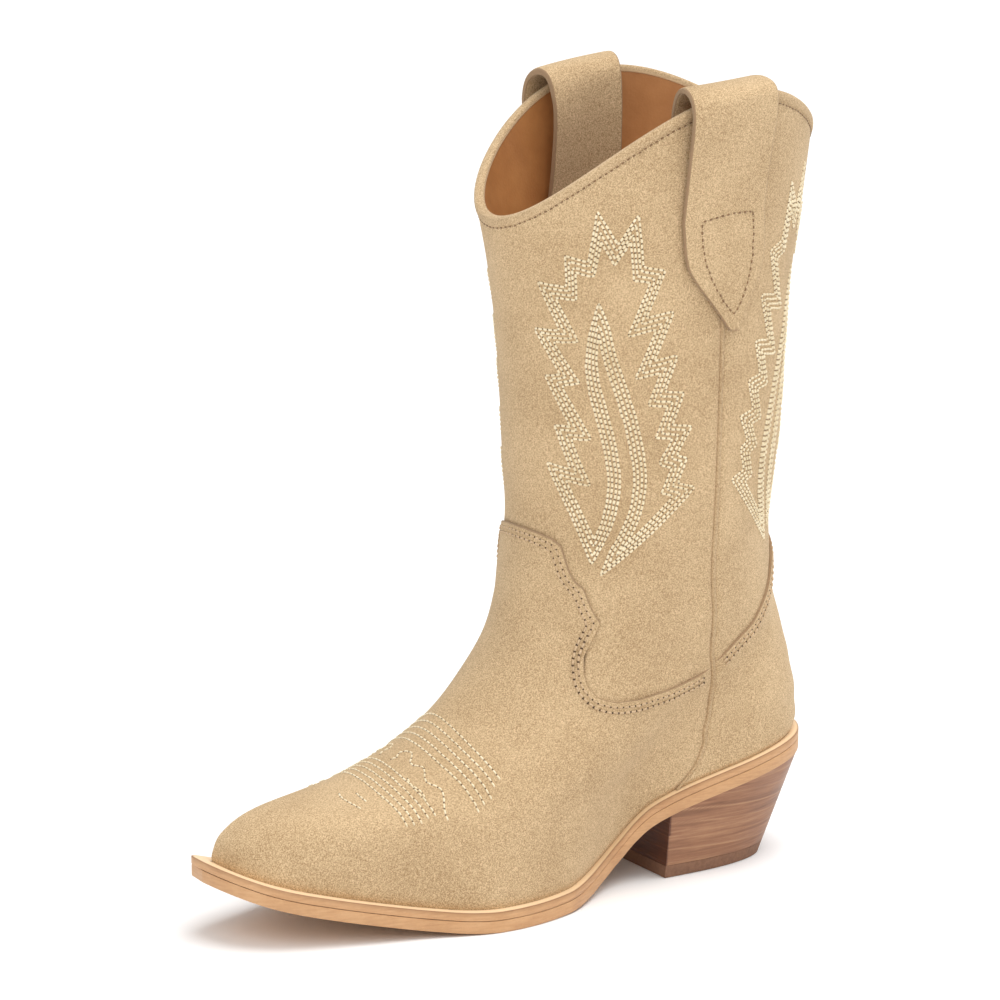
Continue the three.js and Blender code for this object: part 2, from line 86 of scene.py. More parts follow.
VAMP_LOW = [(0, 0.389), (0.06, 0.368), (0.11, 0.363), (0.165, 0.375), (0.2, 0.403), (0.23, 0.46),
            (0.255, 0.525), (0.28, 0.563), (0.32, 0.6), (0.35, 0.625), (0.39, 0.637), (0.5, 0.648)]
# The cut edge of the vamp from the outer seam to the ridge: share of the way round, and height.
VAMP_CUT = [(0, 0.392), (0.035, 0.381), (0.08, 0.371), (0.125, 0.369), (0.163, 0.376), (0.19, 0.392),
            (0.215, 0.422), (0.236, 0.458), (0.247, 0.48), (0.246, 0.5), (0.239, 0.518), (0.2335, 0.533),
            (0.242, 0.54), (0.252, 0.55), (0.265, 0.566), (0.278, 0.58), (0.296, 0.587), (0.312, 0.597),
            (0.33, 0.614), (0.345, 0.63), (0.37, 0.638), (0.41, 0.644), (0.455, 0.648), (0.5, 0.649)]
FOXING_EDGE = [(0, 0.4), (0.07, 0.439), (0.13, 0.465), (0.18, 0.495), (0.25, 0.527), (0.35, 0.57), (0.5, 0.6)]


# ---- curves
def smooth(x, low, high):
    share = np.clip((np.asarray(x, float) - low) / (high - low), 0, 1)
    return share * share * (3 - 2 * share)


def spline(values, t):
    """Smooth curve through evenly spaced numbers, t from 0 to 1."""
    p = np.asarray(values, float)
    last = len(p) - 1
    s = np.clip(np.asarray(t, float), 0, 1) * last
    i = np.minimum(s.astype(int), last - 1)
    f = s - i
    q = np.concatenate([[2 * p[0] - p[1]], p, [2 * p[-1] - p[-2]]])
    p0, p1, p2, p3 = q[i], q[i + 1], q[i + 2], q[i + 3]
    bend = (2 * p0 - 5 * p1 + 4 * p2 - p3) * f ** 2 + (3 * p1 - p0 - 3 * p2 + p3) * f ** 3
    return 0.5 * (2 * p1 + (p2 - p0) * f + bend)


def monotone_rows(xs, rows, x):
    """Smooth curve through (xs, rows) that never overshoots; a row may hold one number for each x."""
    xs = np.asarray(xs, float)
    x = np.asarray(x, float)
    rows = [np.broadcast_to(np.asarray(row, float), x.shape) for row in rows]
    last = len(xs) - 1
    h = np.diff(xs)
    slope = [(rows[k + 1] - rows[k]) / h[k] for k in range(last)]
    tangent = [slope[0]]
    for k in range(1, last):
        a, b = slope[k - 1], slope[k]
        w1, w2 = 2 * h[k] + h[k - 1], h[k] + 2 * h[k - 1]
        turns = a * b <= 0
        mean = (w1 + w2) / (w1 / np.where(turns, 1, a) + w2 / np.where(turns, 1, b))
        tangent.append(np.where(turns, 0, mean))
    tangent.append(slope[-1])
    at = np.clip(x, xs[0], xs[-1])
    i = np.clip(np.searchsorted(xs, at, side="right") - 1, 0, last - 1)

    def pick(values):
        return np.take_along_axis(np.stack(values), i[None], 0)[0]

    width = h[i]
    f = (at - xs[i]) / width
    low, high = pick(rows[:-1]), pick(rows[1:])
    rise = width * (f * (1 - f) ** 2 * pick(tangent[:-1]) - f * f * (1 - f) * pick(tangent[1:]))
    return low + (high - low) * f * f * (3 - 2 * f) + rise


def monotone(points, x):
    return monotone_rows([p[0] for p in points], [p[1] for p in points], x)


def lerp(a, b, t):
    return a + (b - a) * t


def gather(*parts):
    """Points from their separate coordinates."""
    return np.stack(parts, -1)


def running(points):
    """Distance along a path to each of its points."""
    return np.concatenate([[0], np.cumsum(np.linalg.norm(np.diff(points, axis=0), axis=1))])


def unit(vectors):
    return vectors / np.maximum(np.linalg.norm(vectors, axis=-1, keepdims=True), 1e-9)


def tread(x):
    return monotone(TREAD_LINE, x)


def feather(x):
    return tread(x) + FEATHER_RISE


# ---- the surface of the upper
# u runs round the boot: 0 at the back, 0.25 on the outer side, 0.5 at the toe, 0.75 on the inner side.
# v runs from the sole (0) to the top line (1).
def upper(u, v):
    u, v = np.broadcast_arrays(np.asarray(u, float), np.asarray(v, float))
    along = (1 - np.cos(2 * np.pi * u)) / 2
    side = np.sin(2 * np.pi * u)
    xb, zb = (spline([p[k] for p in BACK_LINE], v) for k in (0, 1))
    xf, zf = (spline([p[k] for p in FRONT_LINE], v) for k in (0, 1))
    x = lerp(xb, xf, along)
    outer = monotone_rows(WIDTH_LEVELS, [spline(w, along) for w in OUTER_WIDTHS], v)
    inner = monotone_rows(WIDTH_LEVELS, [spline(w, along) for w in INNER_WIDTHS], v)
    swing = TOE_SWING["distance"] * smooth(x, TOE_SWING["start"], TOE_SWING["end"])
    y = side * np.where(side >= 0, outer, inner) - swing
    z = lerp(zb, zf, along)
    z = z + np.maximum(0, 1 - v / 0.45) ** 2 * (feather(x) - lerp(BACK_LINE[0][1], FRONT_LINE[0][1], along))
    z = z + smooth(v, 0.55, 1) * SCALLOP_RISE * 4 * along * (1 - along) * (1.125 - 0.25 * along)
    return gather(x, y, z)


def outward(u, v):
    d = 0.004
    across = upper(u + d, v) - upper(u - d, v)
    up = upper(u, np.minimum(v + d, 1)) - upper(u, np.maximum(v - d, 0))
    return unit(np.cross(up, across))


def ripple(u, v):
    """Slight waves of leather creased by wear, in mm outwards, strongest where the ankle bends."""
    a = 2 * np.pi * u
    ankle = smooth(v, 0.3, 0.42) * (1 - smooth(v, 0.55, 0.75))
    shaft = smooth(v, 0.55, 0.7) * (1 - smooth(v, 0.9, 1))
    waves = np.sin(3 * a + 14 * v + 0.6) * np.sin(31 * v + 1.3 * np.sin(2 * a)) + 0.5 * np.sin(7 * a - 22 * v)
    slow = np.sin(2 * a + 9 * v) + 0.6 * np.sin(5 * a - 11 * v + 1)
    return 0.4 * ankle * waves + 0.45 * shaft * slow


def skin(u, v, depth):
    """A point at a depth below the surface; down at the sole the layers lie side by side on the welt."""
    u, v, depth = np.broadcast_arrays(np.asarray(u, float), np.asarray(v, float), np.asarray(depth, float))
    p = upper(u, v)
    on_welt = (1 - smooth(v, 0, 0.1))[..., None]
    out = outward(u, v)
    flat = unit(out * [1, 1, 0])
    moved = p - (out + (flat - out) * on_welt) * (depth - ripple(u, v))[..., None]
    moved[..., 2] += on_welt[..., 0] * (feather(moved[..., 0]) - feather(p[..., 0]))
    return moved


def per_u(u, v):
    return np.linalg.norm(upper(u + 0.004, v) - upper(u - 0.004, v), axis=-1) / 0.008


def seam_at(v):
    return monotone(SIDE_SEAM, v)


def front_u(q, v, margin=0.0):
    """Front pieces run from the outer seam over the toe to the inner seam, q from 0 to 1."""
    edge = seam_at(v) + margin / per_u(seam_at(v), v)
    return lerp(edge, 1 - edge, q)


def back_u(q, v, margin=0.0):
    """Back pieces run from the inner seam round the heel to the outer seam, q from 0 to 1."""
    edge = seam_at(v) - margin / per_u(seam_at(v), v)
    return lerp(-edge, edge, q)


def mirrored(edge, q):
    return monotone(edge, 0.5 - np.abs(q - 0.5))


# ---- node materials
class Material:
    """A procedural material: a Principled shader with nodes for its colour, roughness and bump."""

    def __init__(self, name, **shader):
        self.material = bpy.data.materials.new(name)
        self.material.use_nodes = True
        self.nodes = self.material.node_tree.nodes
        self.links = self.material.node_tree.links
        self.shader = self.nodes["Principled BSDF"]
        self.place = self.nodes.new("ShaderNodeTexCoord").outputs["Object"]
        for key, value in shader.items():
            self.shader.inputs[key.replace("_", " ")].default_value = value

    def node(self, kind, **inputs):
        """A new node; each input is set to a value or linked to a socket."""
        node = self.nodes.new("ShaderNode" + kind)
        for name, value in inputs.items():
            self.feed(node.inputs[name.replace("_", " ")], value)
        return node

    def feed(self, socket, value):
        if isinstance(value, bpy.types.NodeSocket):
            self.links.new(value, socket)
        else:
            socket.default_value = (*value, 1) if isinstance(value, tuple) and socket.type == "RGBA" else value

    def stretched(self, scale):
        return self.node("Mapping", Scale=scale, Vector=self.place).outputs["Vector"]

    def noise(self, scale, detail=3.0, roughness=0.55, vector=None, distortion=0.0):
        return self.node("TexNoise", Scale=scale, Detail=detail, Roughness=roughness, Distortion=distortion,
                         Vector=vector or self.place).outputs["Fac"]

    def cells(self, scale):
        return self.node("TexVoronoi", Scale=scale, Vector=self.place).outputs["Distance"]

    def ramp(self, source, stops):
        node = self.node("ValToRGB", Fac=source)
        while len(node.color_ramp.elements) < len(stops):
            node.color_ramp.elements.new(0.5)
        for element, (at, colour) in zip(node.color_ramp.elements, stops):
            element.position = at
            element.color = (*colour, 1)
        return node.outputs["Color"]

    def levels(self, source, low, high, out_low=0.0, out_high=1.0):
        return self.node("MapRange", Value=source, From_Min=low, From_Max=high, To_Min=out_low,
                         To_Max=out_high).outputs["Result"]

    def maths(self, operation, a, b):
        node = self.nodes.new("ShaderNodeMath")
        node.operation = operation
        self.feed(node.inputs[0], a)
        self.feed(node.inputs[1], b)
        return node.outputs["Value"]

    def shade(self, *parts):
        """The sum of some textures, each as (texture, from, to, weight)."""
        total = None
        for source, low, high, weight in parts:
            part = self.levels(source, low, high, 0, weight)
            total = part if total is None else self.maths("ADD", total, part)
        return total

    def mix(self, factor, a, b, kind="MIX"):
        node = self.nodes.new("ShaderNodeMix")
        node.data_type = "RGBA"
        node.blend_type = kind
        sockets = (node.inputs["Factor"], *(s for s in node.inputs if s.type == "RGBA"))
        for socket, source in zip(sockets, (factor, a, b)):
            self.feed(socket, source)
        return next(s for s in node.outputs if s.type == "RGBA")

    def colour(self, source):
        self.links.new(source, self.shader.inputs["Base Color"])

    def rough(self, source):
        self.links.new(source, self.shader.inputs["Roughness"])

    def bump(self, height, strength, distance):
        node = self.node("Bump", Strength=strength, Distance=distance, Height=height)
        if self.shader.inputs["Normal"].is_linked:
            self.links.new(self.shader.inputs["Normal"].links[0].from_socket, node.inputs["Normal"])
        self.links.new(node.outputs["Normal"], self.shader.inputs["Normal"])

    def attribute(self, name):
        node = self.nodes.new("ShaderNodeAttribute")
        node.attribute_name = name
        return node.outputs["Fac"]


def srgb(red, green, blue):
    """Screen colour, 0 to 255, as linear light."""
    return tuple(((c / 255 + 0.055) / 1.055) ** 2.4 for c in (red, green, blue))


TRIM_COLOUR = srgb(238, 206, 162)
LEDGE_HIGHLIGHT_COLOUR = srgb(238, 208, 168)
CORNER_COLOUR = srgb(132, 92, 60)
BREAST_PAINTED_SHADE = (0.35, 0.24, 0.2)


def suede(name, light, dark, edge):
    """Brushed leather: fine nap speckle, soft clouds, a darker edge where 'cut' is painted: the darker core of cut
    edges, and painted shade along the straps' edges and over the piping.
    """
    m = Material(name, Specular_IOR_Level=0.15, Sheen_Weight=0.25, Sheen_Roughness=0.5,
                 Sheen_Tint=(*srgb(255, 240, 215), 1))
    nap = m.noise(1900, 3, 0.8)
    grain = m.noise(520, 3, 0.6)
    clouds = m.noise(30, 4, 0.55, distortion=0.4)
    shade = m.shade((nap, 0.37, 0.63, 0.74), (grain, 0.3, 0.7, 0.05), (clouds, 0.32, 0.68, 0.18))
    # Where 'cut' is painted the colour darkens: the core of cut edges, and painted shade at the strap edges and the
    # piping.
    cut_edge_and_shade = m.mix(m.attribute("cut"), m.ramp(shade, [(0.1, dark), (0.9, light)]), edge)
    m.colour(m.mix(m.attribute("trim"), cut_edge_and_shade, TRIM_COLOUR))
    m.rough(m.levels(nap, 0.3, 0.7, 0.86, 0.98))
    m.bump(nap, 0.6, 0.0004)
    m.bump(grain, 0.2, 0.0006)
    return m.material


def lining_leather(name, light, dark):
    """Smooth dyed leather with a soft shine, fine pores and cloudy dye."""
    m = Material(name, Specular_IOR_Level=0.45, Coat_Weight=0.12, Coat_Roughness=0.35)
    pores = m.cells(1100)
    clouds = m.noise(45, 4, 0.6)
    streaks = m.noise(14, 3, 0.6, m.stretched((1, 1, 0.25)))
    shade = m.shade((clouds, 0.3, 0.7, 0.55), (streaks, 0.3, 0.7, 0.45))
    m.colour(m.ramp(shade, [(0.1, dark), (0.9, light)]))
    m.rough(m.levels(clouds, 0.3, 0.7, 0.34, 0.5))
    m.bump(pores, 0.25, 0.00015)
    m.bump(clouds, 0.2, 0.0012)
    return m.material


def sole_leather(name, light, mid, dark):
    """Burnished sole edge with fine lines along it and waxy patches; its upward-facing top ledge is painted paler as
    a painted highlight, the corner dark.
    """
    m = Material(name, Specular_IOR_Level=0.45, Coat_Weight=0.1, Coat_Roughness=0.4)
    run = m.stretched((0.3, 0.3, 3.2))
    fibres = m.noise(420, 4, 0.65, run, 0.3)
    patches = m.noise(55, 4, 0.6)
    specks = m.noise(900, 2, 0.6)
    shade = m.shade((fibres, 0.25, 0.75, 0.5), (patches, 0.3, 0.7, 0.4), (specks, 0.3, 0.7, 0.1))
    side = m.ramp(shade, [(0.05, dark), (0.5, mid), (0.95, light)])
    # Painted highlight: the welt's top ledge, facing up to the light, is mixed to a paler colour where 'ledge' is
    # painted.
    side_with_lit_ledge = m.mix(m.attribute("ledge"), side, LEDGE_HIGHLIGHT_COLOUR)
    m.colour(m.mix(m.attribute("corner"), side_with_lit_ledge, CORNER_COLOUR))
    m.rough(m.levels(patches, 0.3, 0.7, 0.42, 0.6))
    m.bump(fibres, 0.3, 0.00025)
    return m.material


def stacked_leather(name, light, mid, dark):
    """Leather lifts pressed together: level streaks, pale lines where two lifts meet, patches of wear, and painted
    shade multiplied over the breast.
    """
    m = Material(name, Specular_IOR_Level=0.4, Coat_Weight=0.08, Coat_Roughness=0.35)
    level = m.stretched((0.12, 0.12, 2.6))
    streaks = m.noise(330, 5, 0.7, level, 0.5)
    broad = m.noise(70, 3, 0.6, level, 0.4)
    wear = m.noise(60, 4, 0.6)
    shade = m.shade((streaks, 0.28, 0.72, 0.5), (broad, 0.3, 0.7, 0.4), (wear, 0.35, 0.7, 0.15))
    body = m.ramp(shade, [(0.08, dark), (0.5, mid), (0.95, light)])
    lines = m.maths("MULTIPLY", m.attribute("joint"), m.levels(m.noise(120, 3, 0.6, level), 0.35, 0.65, 0.1, 0.9))
    # Painted shade: the heel breast, in the shade under the arch, is multiplied darker.
    m.colour(m.mix(m.attribute("breast"), m.mix(lines, body, light), BREAST_PAINTED_SHADE, "MULTIPLY"))
    m.rough(m.levels(wear, 0.3, 0.7, 0.4, 0.58))
    m.bump(streaks, 0.35, 0.0003)
    return m.material


def rubber(name, light, dark):
    m = Material(name, Specular_IOR_Level=0.35)
    specks = m.noise(700, 3, 0.65)
    patches = m.noise(60, 3, 0.6)
    shade = m.shade((specks, 0.3, 0.7, 0.6), (patches, 0.3, 0.7, 0.4))
    m.colour(m.ramp(shade, [(0.1, dark), (0.9, light)]))
    m.rough(m.levels(patches, 0.3, 0.7, 0.6, 0.8))
    m.bump(specks, 0.3, 0.0002)
    return m.material


def thread(name, light, dark):
    """Spun thread: plies that cross it, with a faint shine."""
    m = Material(name, Specular_IOR_Level=0.3, Sheen_Weight=0.3, Sheen_Roughness=0.4)
    plies = m.noise(2600, 2, 0.6)
    drift = m.noise(90, 2, 0.5)
    shade = m.shade((plies, 0.3, 0.7, 0.7), (drift, 0.3, 0.7, 0.3))
    m.colour(m.ramp(shade, [(0.1, dark), (0.8, light)]))
    m.rough(m.levels(plies, 0.3, 0.7, 0.5, 0.72))
    m.bump(plies, 0.5, 0.0002)
    return m.material


def fibrous(name, light, dark, scale, roughness=(0.8, 0.95), metal=0.0):
    """Pressed board, cork or brushed steel of the hidden parts."""
    m = Material(name, Metallic=metal)
    flecks = m.cells(scale)
    fine = m.noise(scale * 2, 4, 0.65)
    shade = m.shade((flecks, 0, 0.7, 0.5), (fine, 0.3, 0.7, 0.5))
    m.colour(m.ramp(shade, [(0.15, dark), (0.85, light)]))
    m.rough(m.levels(fine, 0.3, 0.7, *roughness))
    m.bump(fine, 0.3, 0.0003)
    return m.material


MATERIALS = {
    "suede": suede("suede", srgb(225, 197, 157), srgb(156, 126, 89), srgb(150, 122, 94)),
    "lining": lining_leather("lining_leather", srgb(198, 138, 82), srgb(162, 104, 58)),
    "sole": sole_leather("sole_leather", srgb(214, 170, 126), srgb(199, 153, 108), srgb(178, 130, 88)),
    "heel": stacked_leather("stacked_heel", srgb(184, 140, 104), srgb(148, 103, 74), srgb(112, 72, 48)),
    "lift": rubber("top_lift_rubber", srgb(146, 108, 84), srgb(120, 86, 66)),
    "cream_thread": thread("cream_thread", srgb(250, 238, 208), srgb(214, 192, 150)),
    "seam_thread": thread("seam_thread", srgb(214, 186, 150), srgb(176, 146, 108)),
    "dark_thread": thread("dark_thread", srgb(150, 118, 82), srgb(100, 74, 50)),
    # Painted shade: the dark colour of the needle-hole discs stands in for the shade inside each hole.
    "hole": rubber("needle_hole_shade", srgb(92, 68, 44), srgb(60, 42, 28)),
    "board": fibrous("fibre_board", srgb(200, 184, 152), srgb(150, 130, 98), 500),
    "cork": fibrous("cork", srgb(168, 118, 74), srgb(92, 60, 34), 350),
    "steel": fibrous("brushed_steel", srgb(190, 192, 196), srgb(140, 143, 148), 900, (0.28, 0.42), 1.0),
}


# ---- building pieces
def add_object(name, data):
    thing = bpy.data.objects.new(name, data)
    bpy.context.scene.collection.objects.link(thing)
    return thing


def make_piece(name, points, faces, material, body="boot", replaced=(), crease=38, paint=None):
    """A mesh piece from points in mm; it rides on a body and stands for the CAD nodes in replaced."""
    mesh = bpy.data.meshes.new(name)
    mesh.from_pydata((np.asarray(points) * MM).tolist(), [], [list(map(int, f)) for f in faces])
    for key, values in (paint or {}).items():
        mesh.attributes.new(key, "FLOAT", "POINT").data.foreach_set("value", np.asarray(values, np.float32))
    clean = bmesh.new()
    clean.from_mesh(mesh)
    bmesh.ops.recalc_face_normals(clean, faces=clean.faces)
    clean.to_mesh(mesh)
    clean.free()
    mesh.polygons.foreach_set("use_smooth", [True] * len(mesh.polygons))
    mesh.set_sharp_from_angle(angle=math.radians(crease))
    mesh.materials.append(MATERIALS[material])
    piece = add_object(name, mesh)
    if body:
        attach(piece, body)
    if replaced:
        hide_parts(*replaced)
    return piece


def bent_box(a, b, c, place):
    """The points and faces of a closed box of cells with its corners at a, b and c, bent by place(a, b, c)."""
    a, b, c = (np.asarray(x, float) for x in (a, b, c))
    i, j, k = np.indices((len(a), len(b), len(c)))
    shell = ((i == 0) | (i == len(a) - 1) | (j == 0) | (j == len(b) - 1) | (k == 0) | (k == len(c) - 1))
    index = np.full(shell.shape, -1)
    index[shell] = np.arange(shell.sum())
    i, j, k = np.nonzero(shell)
    faces = []
    for grid in (index[0], index[-1], index[:, 0], index[:, -1], index[:, :, 0], index[:, :, -1]):
        faces.append(gather(grid[:-1, :-1], grid[1:, :-1], grid[1:, 1:], grid[:-1, 1:]).reshape(-1, 4))
    return place(a[i], b[j], c[k]), np.concatenate(faces)


def ring(profile, turns, place):
    """A closed ring: every point of the profile is carried round by place(turn, across, height)."""
    profile = np.asarray(profile, float)
    n, m = turns, len(profile)
    turn = np.repeat(np.arange(n) / n, m)
    across, height = np.tile(profile[:, 0], n), np.tile(profile[:, 1], n)
    index = np.arange(n * m).reshape(n, m)
    after = np.roll(index, -1, 0)
    faces = gather(index, after, np.roll(after, -1, 1), np.roll(index, -1, 1)).reshape(-1, 4)
    return place(turn, across, height), faces


def crowded(count, ends):
    """Values from 0 to 1, evenly spaced, with a few more near both ends."""
    ends = np.asarray(ends)
    middle = np.linspace(ends[-1] * 2, 1 - ends[-1] * 2, count)
    return np.concatenate([[0], ends, middle, 1 - ends[::-1], [1]])


THROUGH = [0, 0.12, 0.88, 1]     # the levels through the thickness of a cut piece of leather
ROUNDING = 0.28                  # how far a cut edge is rounded, in mm


def rounded(c):
    """1 on the two faces of a sheet and 0 inside its cut edge."""
    return np.where((c == 0) | (c == 1), 1.0, 0.0)


# ---- outer leather
SEAM_MARGIN = 0.7               # from the middle of a side seam to the turned edge of a panel
PROUD = 1.15                    # how far a lapped edge stands off the leather under it
LAPPED_LEATHER = 1.15           # thickness of the vamp and the foxing
LAP_SPAN = (3, 16)              # a lapped edge comes down to the surface between these distances from it
SOLE_SINK = 0.45                # how far the leather reaches down between the welt and the linings
WELT_TO_CUT = 210               # mm from the sole to the cut edges, for one unit of v
SHAFT_SPAN = 330                # mm of height for one unit of v at the ankle
AROUND_SPAN = 260               # mm from seam to seam over the instep
CUT_SHOWS = 0.8


def tucked(distance, amount=0.8, reach=2.6):
    """Depth that a panel gains towards a seam, where it turns in."""
    return amount * (1 - np.sqrt(np.clip(distance / reach, 0, 1)))


def vamp_edge_points(s):
    """The cut edge of the vamp, s from 0 at the outer seam over the ridge to 1 at the inner seam."""
    half = np.minimum(s, 1 - s) * 2
    cut = np.array(VAMP_CUT)
    run = running(cut * (AROUND_SPAN, SHAFT_SPAN))
    run /= run[-1]
    q, v = (np.interp(half, run, cut[:, k]) for k in (0, 1))
    return np.where(s <= 0.5, q, 1 - q), v


VAMP_FOOT = [(0, 0), (0.2, 0.115), (0.4, 0.22), (0.62, 0.33), (0.8, 0.415), (1, 0.5)]


def lapped_skin(u, v, c, b, to_edge, to_seam, to_sole):
    """A piece lapped over the shaft: proud at its cut edge, turned in at the seams and at the sole."""
    depth = -PROUD * (1 - smooth(to_edge, *LAP_SPAN)) * smooth(to_seam, 0, 6)
    depth = depth + tucked(to_seam) + tucked(to_sole, 0.9, 3)
    points = skin(u, v, depth + c * LAPPED_LEATHER)
    points[..., 2] -= SOLE_SINK * (b == 0)
    return points


def vamp_place(a, b, c):
    """Places the vamp's grid: a from seam to seam, b from the sole to the cut edge, c through the leather."""
    q_top, v_top = vamp_edge_points(a)
    half = np.minimum(a, 1 - a) * 2
    q_low = monotone(VAMP_FOOT, half)
    q_low = np.where(a <= 0.5, q_low, 1 - q_low)
    size = v_top * WELT_TO_CUT
    v = v_top * b - ROUNDING * rounded(c) * (b == 1) / SHAFT_SPAN
    q = lerp(q_low, q_top, b ** 4)
    u = front_u(q, v, SEAM_MARGIN)
    return lapped_skin(u, v, c, b, (1 - b) * size, np.minimum(q, 1 - q) * 190, b * size)


LAP_ROWS = [0.4, 1.0, 1.8, 2.8, 4.0]      # extra rows near a cut edge, as a share of the sheet in hundredths


def lapped_rows(count):
    near = 1 - np.array(LAP_ROWS[::-1]) / 100
    return np.concatenate([[0, 0.008, 0.02, 0.035], np.linspace(0.05, near[0] - 0.02, count), near, [1]])


def painted_box(a, b, c, place, paint):
    """A bent box and the 'cut' paint of its points, given by paint(a, b)."""
    kept = {}

    def remember(x, y, z):
        kept["cut"] = paint(x, y)
        return place(x, y, z)

    points, faces = bent_box(a, b, c, remember)
    return points, faces, kept


def cut_edge(a, b):
    """Where the cut edge of a lapped piece shows its darker core."""
    return np.where(b == 1, CUT_SHOWS, 0.0)


def foxing_place(a, b, c):
    """Places the heel foxing's grid: a from seam to seam, b from the sole to the cut edge."""
    top = mirrored(FOXING_EDGE, a)
    size = top * WELT_TO_CUT
    v = top * b - ROUNDING * rounded(c) * (b == 1) / SHAFT_SPAN
    to_seam = np.minimum(a, 1 - a) * 2 * seam_at(v) * per_u(seam_at(v), v)
    return lapped_skin(back_u(a, v, SEAM_MARGIN), v, c, b, (1 - b) * size, to_seam, b * size)


def build_lapped(name, node, columns, rows, place):
    """A piece that is lapped over the shaft panels and sewn down."""
    points, faces, paint = painted_box(columns, lapped_rows(rows), THROUGH, place, cut_edge)
    make_piece(name, points, faces, "suede", replaced=[node], paint=paint)


def shaft_panel(name, node, around, low_edge, columns):
    """A shaft panel: its lower edge runs in under the vamp or the foxing, its top in under the binding."""
    def place(a, b, c):
        under = mirrored(low_edge, a) - 0.03
        v = lerp(under, 0.997, b)
        u = around(a, v, SEAM_MARGIN)
        below = (mirrored(low_edge, a) - v) * SHAFT_SPAN
        to_seam = np.minimum(a, 1 - a) * per_u(seam_at(v), v) * (0.55 if around is front_u else 0.42)
        depth = 1.3 * smooth(below, 2, 9) + tucked(to_seam)
        return skin(u, v, depth + c * 1.5)
    box = bent_box(crowded(columns, [0.003, 0.007, 0.014]), np.linspace(0, 1, 90), [0, 1], place)
    make_piece(name, *box, "suede", replaced=[node])


def build_piping(side, name, node):
    """The leather bead between two panels of a side seam."""
    def place(a, b, c):
        v = 0.995 * b
        t = 2 * a - 1
        u = side * seam_at(v) + t * 0.95 / per_u(seam_at(v), v)
        beat = 0.05 * np.sin(v * 900)
        depth = np.where(c == 0, 0.55 - (0.85 + beat) * np.sqrt(1 - 0.92 * t * t), 1.5)
        points = skin(u, v, depth)
        points[..., 2] -= 0.4 * (b == 0)
        return points
    # Painted shade: the whole bead is painted a little darker, for the shaded line along the side seam.
    points, faces, paint = painted_box(np.linspace(0, 1, 9), np.linspace(0, 1, 320), [0, 1], place,
                                       lambda a, b: np.full(len(a), 0.2))
    make_piece(name, points, faces, "suede", replaced=[node], paint=paint)


BINDING_PROFILE = [(-0.1, -3.3), (0.3, -3.1), (0.5, -2.5), (0.58, -1.6), (0.55, -0.7), (0.4, 0.1), (0.05, 0.6),
                   (-0.6, 0.9), (-1.6, 1.0), (-2.5, 0.9), (-3.15, 0.6), (-3.5, 0.1), (-3.6, -0.6), (-3.55, -1.3),
                   (-3.4, -1.7), (-3.2, -1.8), (-3.15, -1.0), (-0.1, -1.0)]
BINDING_ROW = 3.9               # from the top line down to the stitches below the binding
BINDING_TRIM = (0,) * 12 + (0.3, 1, 1, 1, 1, 0)       # the pale lining edge along the inner side


def build_binding():
    def place(turn, across, height):
        u = 0.5 - turn
        v = np.minimum(1, 1 + height / REACH)
        puff = 1 + 0.06 * np.sin(2 * np.pi * turn * 150) * (across > 0)
        points = skin(u, v, -across * puff)
        points[..., 2] += np.maximum(height, 0)
        return points
    points, faces = ring(BINDING_PROFILE, 600, place)
    make_piece("top_binding_leather", points, faces, "suede", replaced=["top_binding"], crease=70,
               paint={"cut": np.full(len(points), 0.12), "trim": np.resize(BINDING_TRIM, len(points))})


# ---- linings and footbed
SHAFT_LINING = LEATHER + LAYER_GAP
FOOT_LINING = SHAFT_LINING + STIFFENER + LAYER_GAP


def lining_panel(node, around, low_edge, high_edge, depth_at, columns, rows):
    def place(a, b, c):
        v = lerp(low_edge(a), high_edge(a), b)
        return skin(around(a, v, 0.05), v, depth_at(a, v) + c * LINING)
    box = bent_box(np.linspace(0, 1, columns), np.linspace(0, 1, rows), [0, 1], place)
    make_piece(node + "_leather", *box, "lining", replaced=[node])


def build_linings():
    def foot_depth(edge):
        return lambda a, v: FOOT_LINING - 0.95 * smooth((v - mirrored(edge, a)) * SHAFT_SPAN, -14, 0)

    halves = (("front_shaft_lining", "vamp_lining", front_u, VAMP_LOW, 150, 50),
              ("back_shaft_lining", "heel_lining", back_u, FOXING_EDGE, 80, 40))
    for shaft, foot, around, edge, columns, rows in halves:
        lining_panel(shaft, around, lambda a: mirrored(edge, a) - 0.01, lambda a: 0.996,
                     lambda a, v: SHAFT_LINING, columns, 70)
    for shaft, foot, around, edge, columns, rows in halves:
        lining_panel(foot, around, lambda a: 0, lambda a: mirrored(edge, a) + 0.02,
                     foot_depth(edge), columns, rows)


# ---- plan outlines of the sole
def along_share(u):
    return (1 - np.cos(2 * np.pi * u)) / 2


def ledge(u):
    return spline(LEDGE, along_share(u))


def plan_point(u, distance):
    """A plan point at a distance outside the line where the upper meets the sole."""
    d = 0.002
    step = upper(u + d, 0) - upper(u - d, 0)
    out = unit(gather(-step[..., 1], step[..., 0]))
    return upper(u, 0)[..., :2] + out * np.asarray(distance)[..., None]


BLUNT = 0.012                   # how far from each tip the two side outlines stop


def sole_layer(distance, low, high, columns, rows, bevel):
    def place(a, b, c):
        u = lerp(BLUNT, 0.5 - BLUNT, a)
        edge = bevel * rounded(c)
        out, inn = plan_point(u, distance(u) - edge), plan_point(-u, distance(-u) - edge)
        plan = lerp(inn, out, b[:, None])
        height = lerp(low, high, c)
        return np.concatenate([plan, (tread(plan[:, 0]) + height)[:, None]], 1)
    side = np.concatenate([[0, 0.004], np.linspace(0.05, 0.95, rows), [0.996, 1]])
    return bent_box(np.linspace(0, 1, columns), side, [0, 0.1, 0.5, 0.9, 1], place)


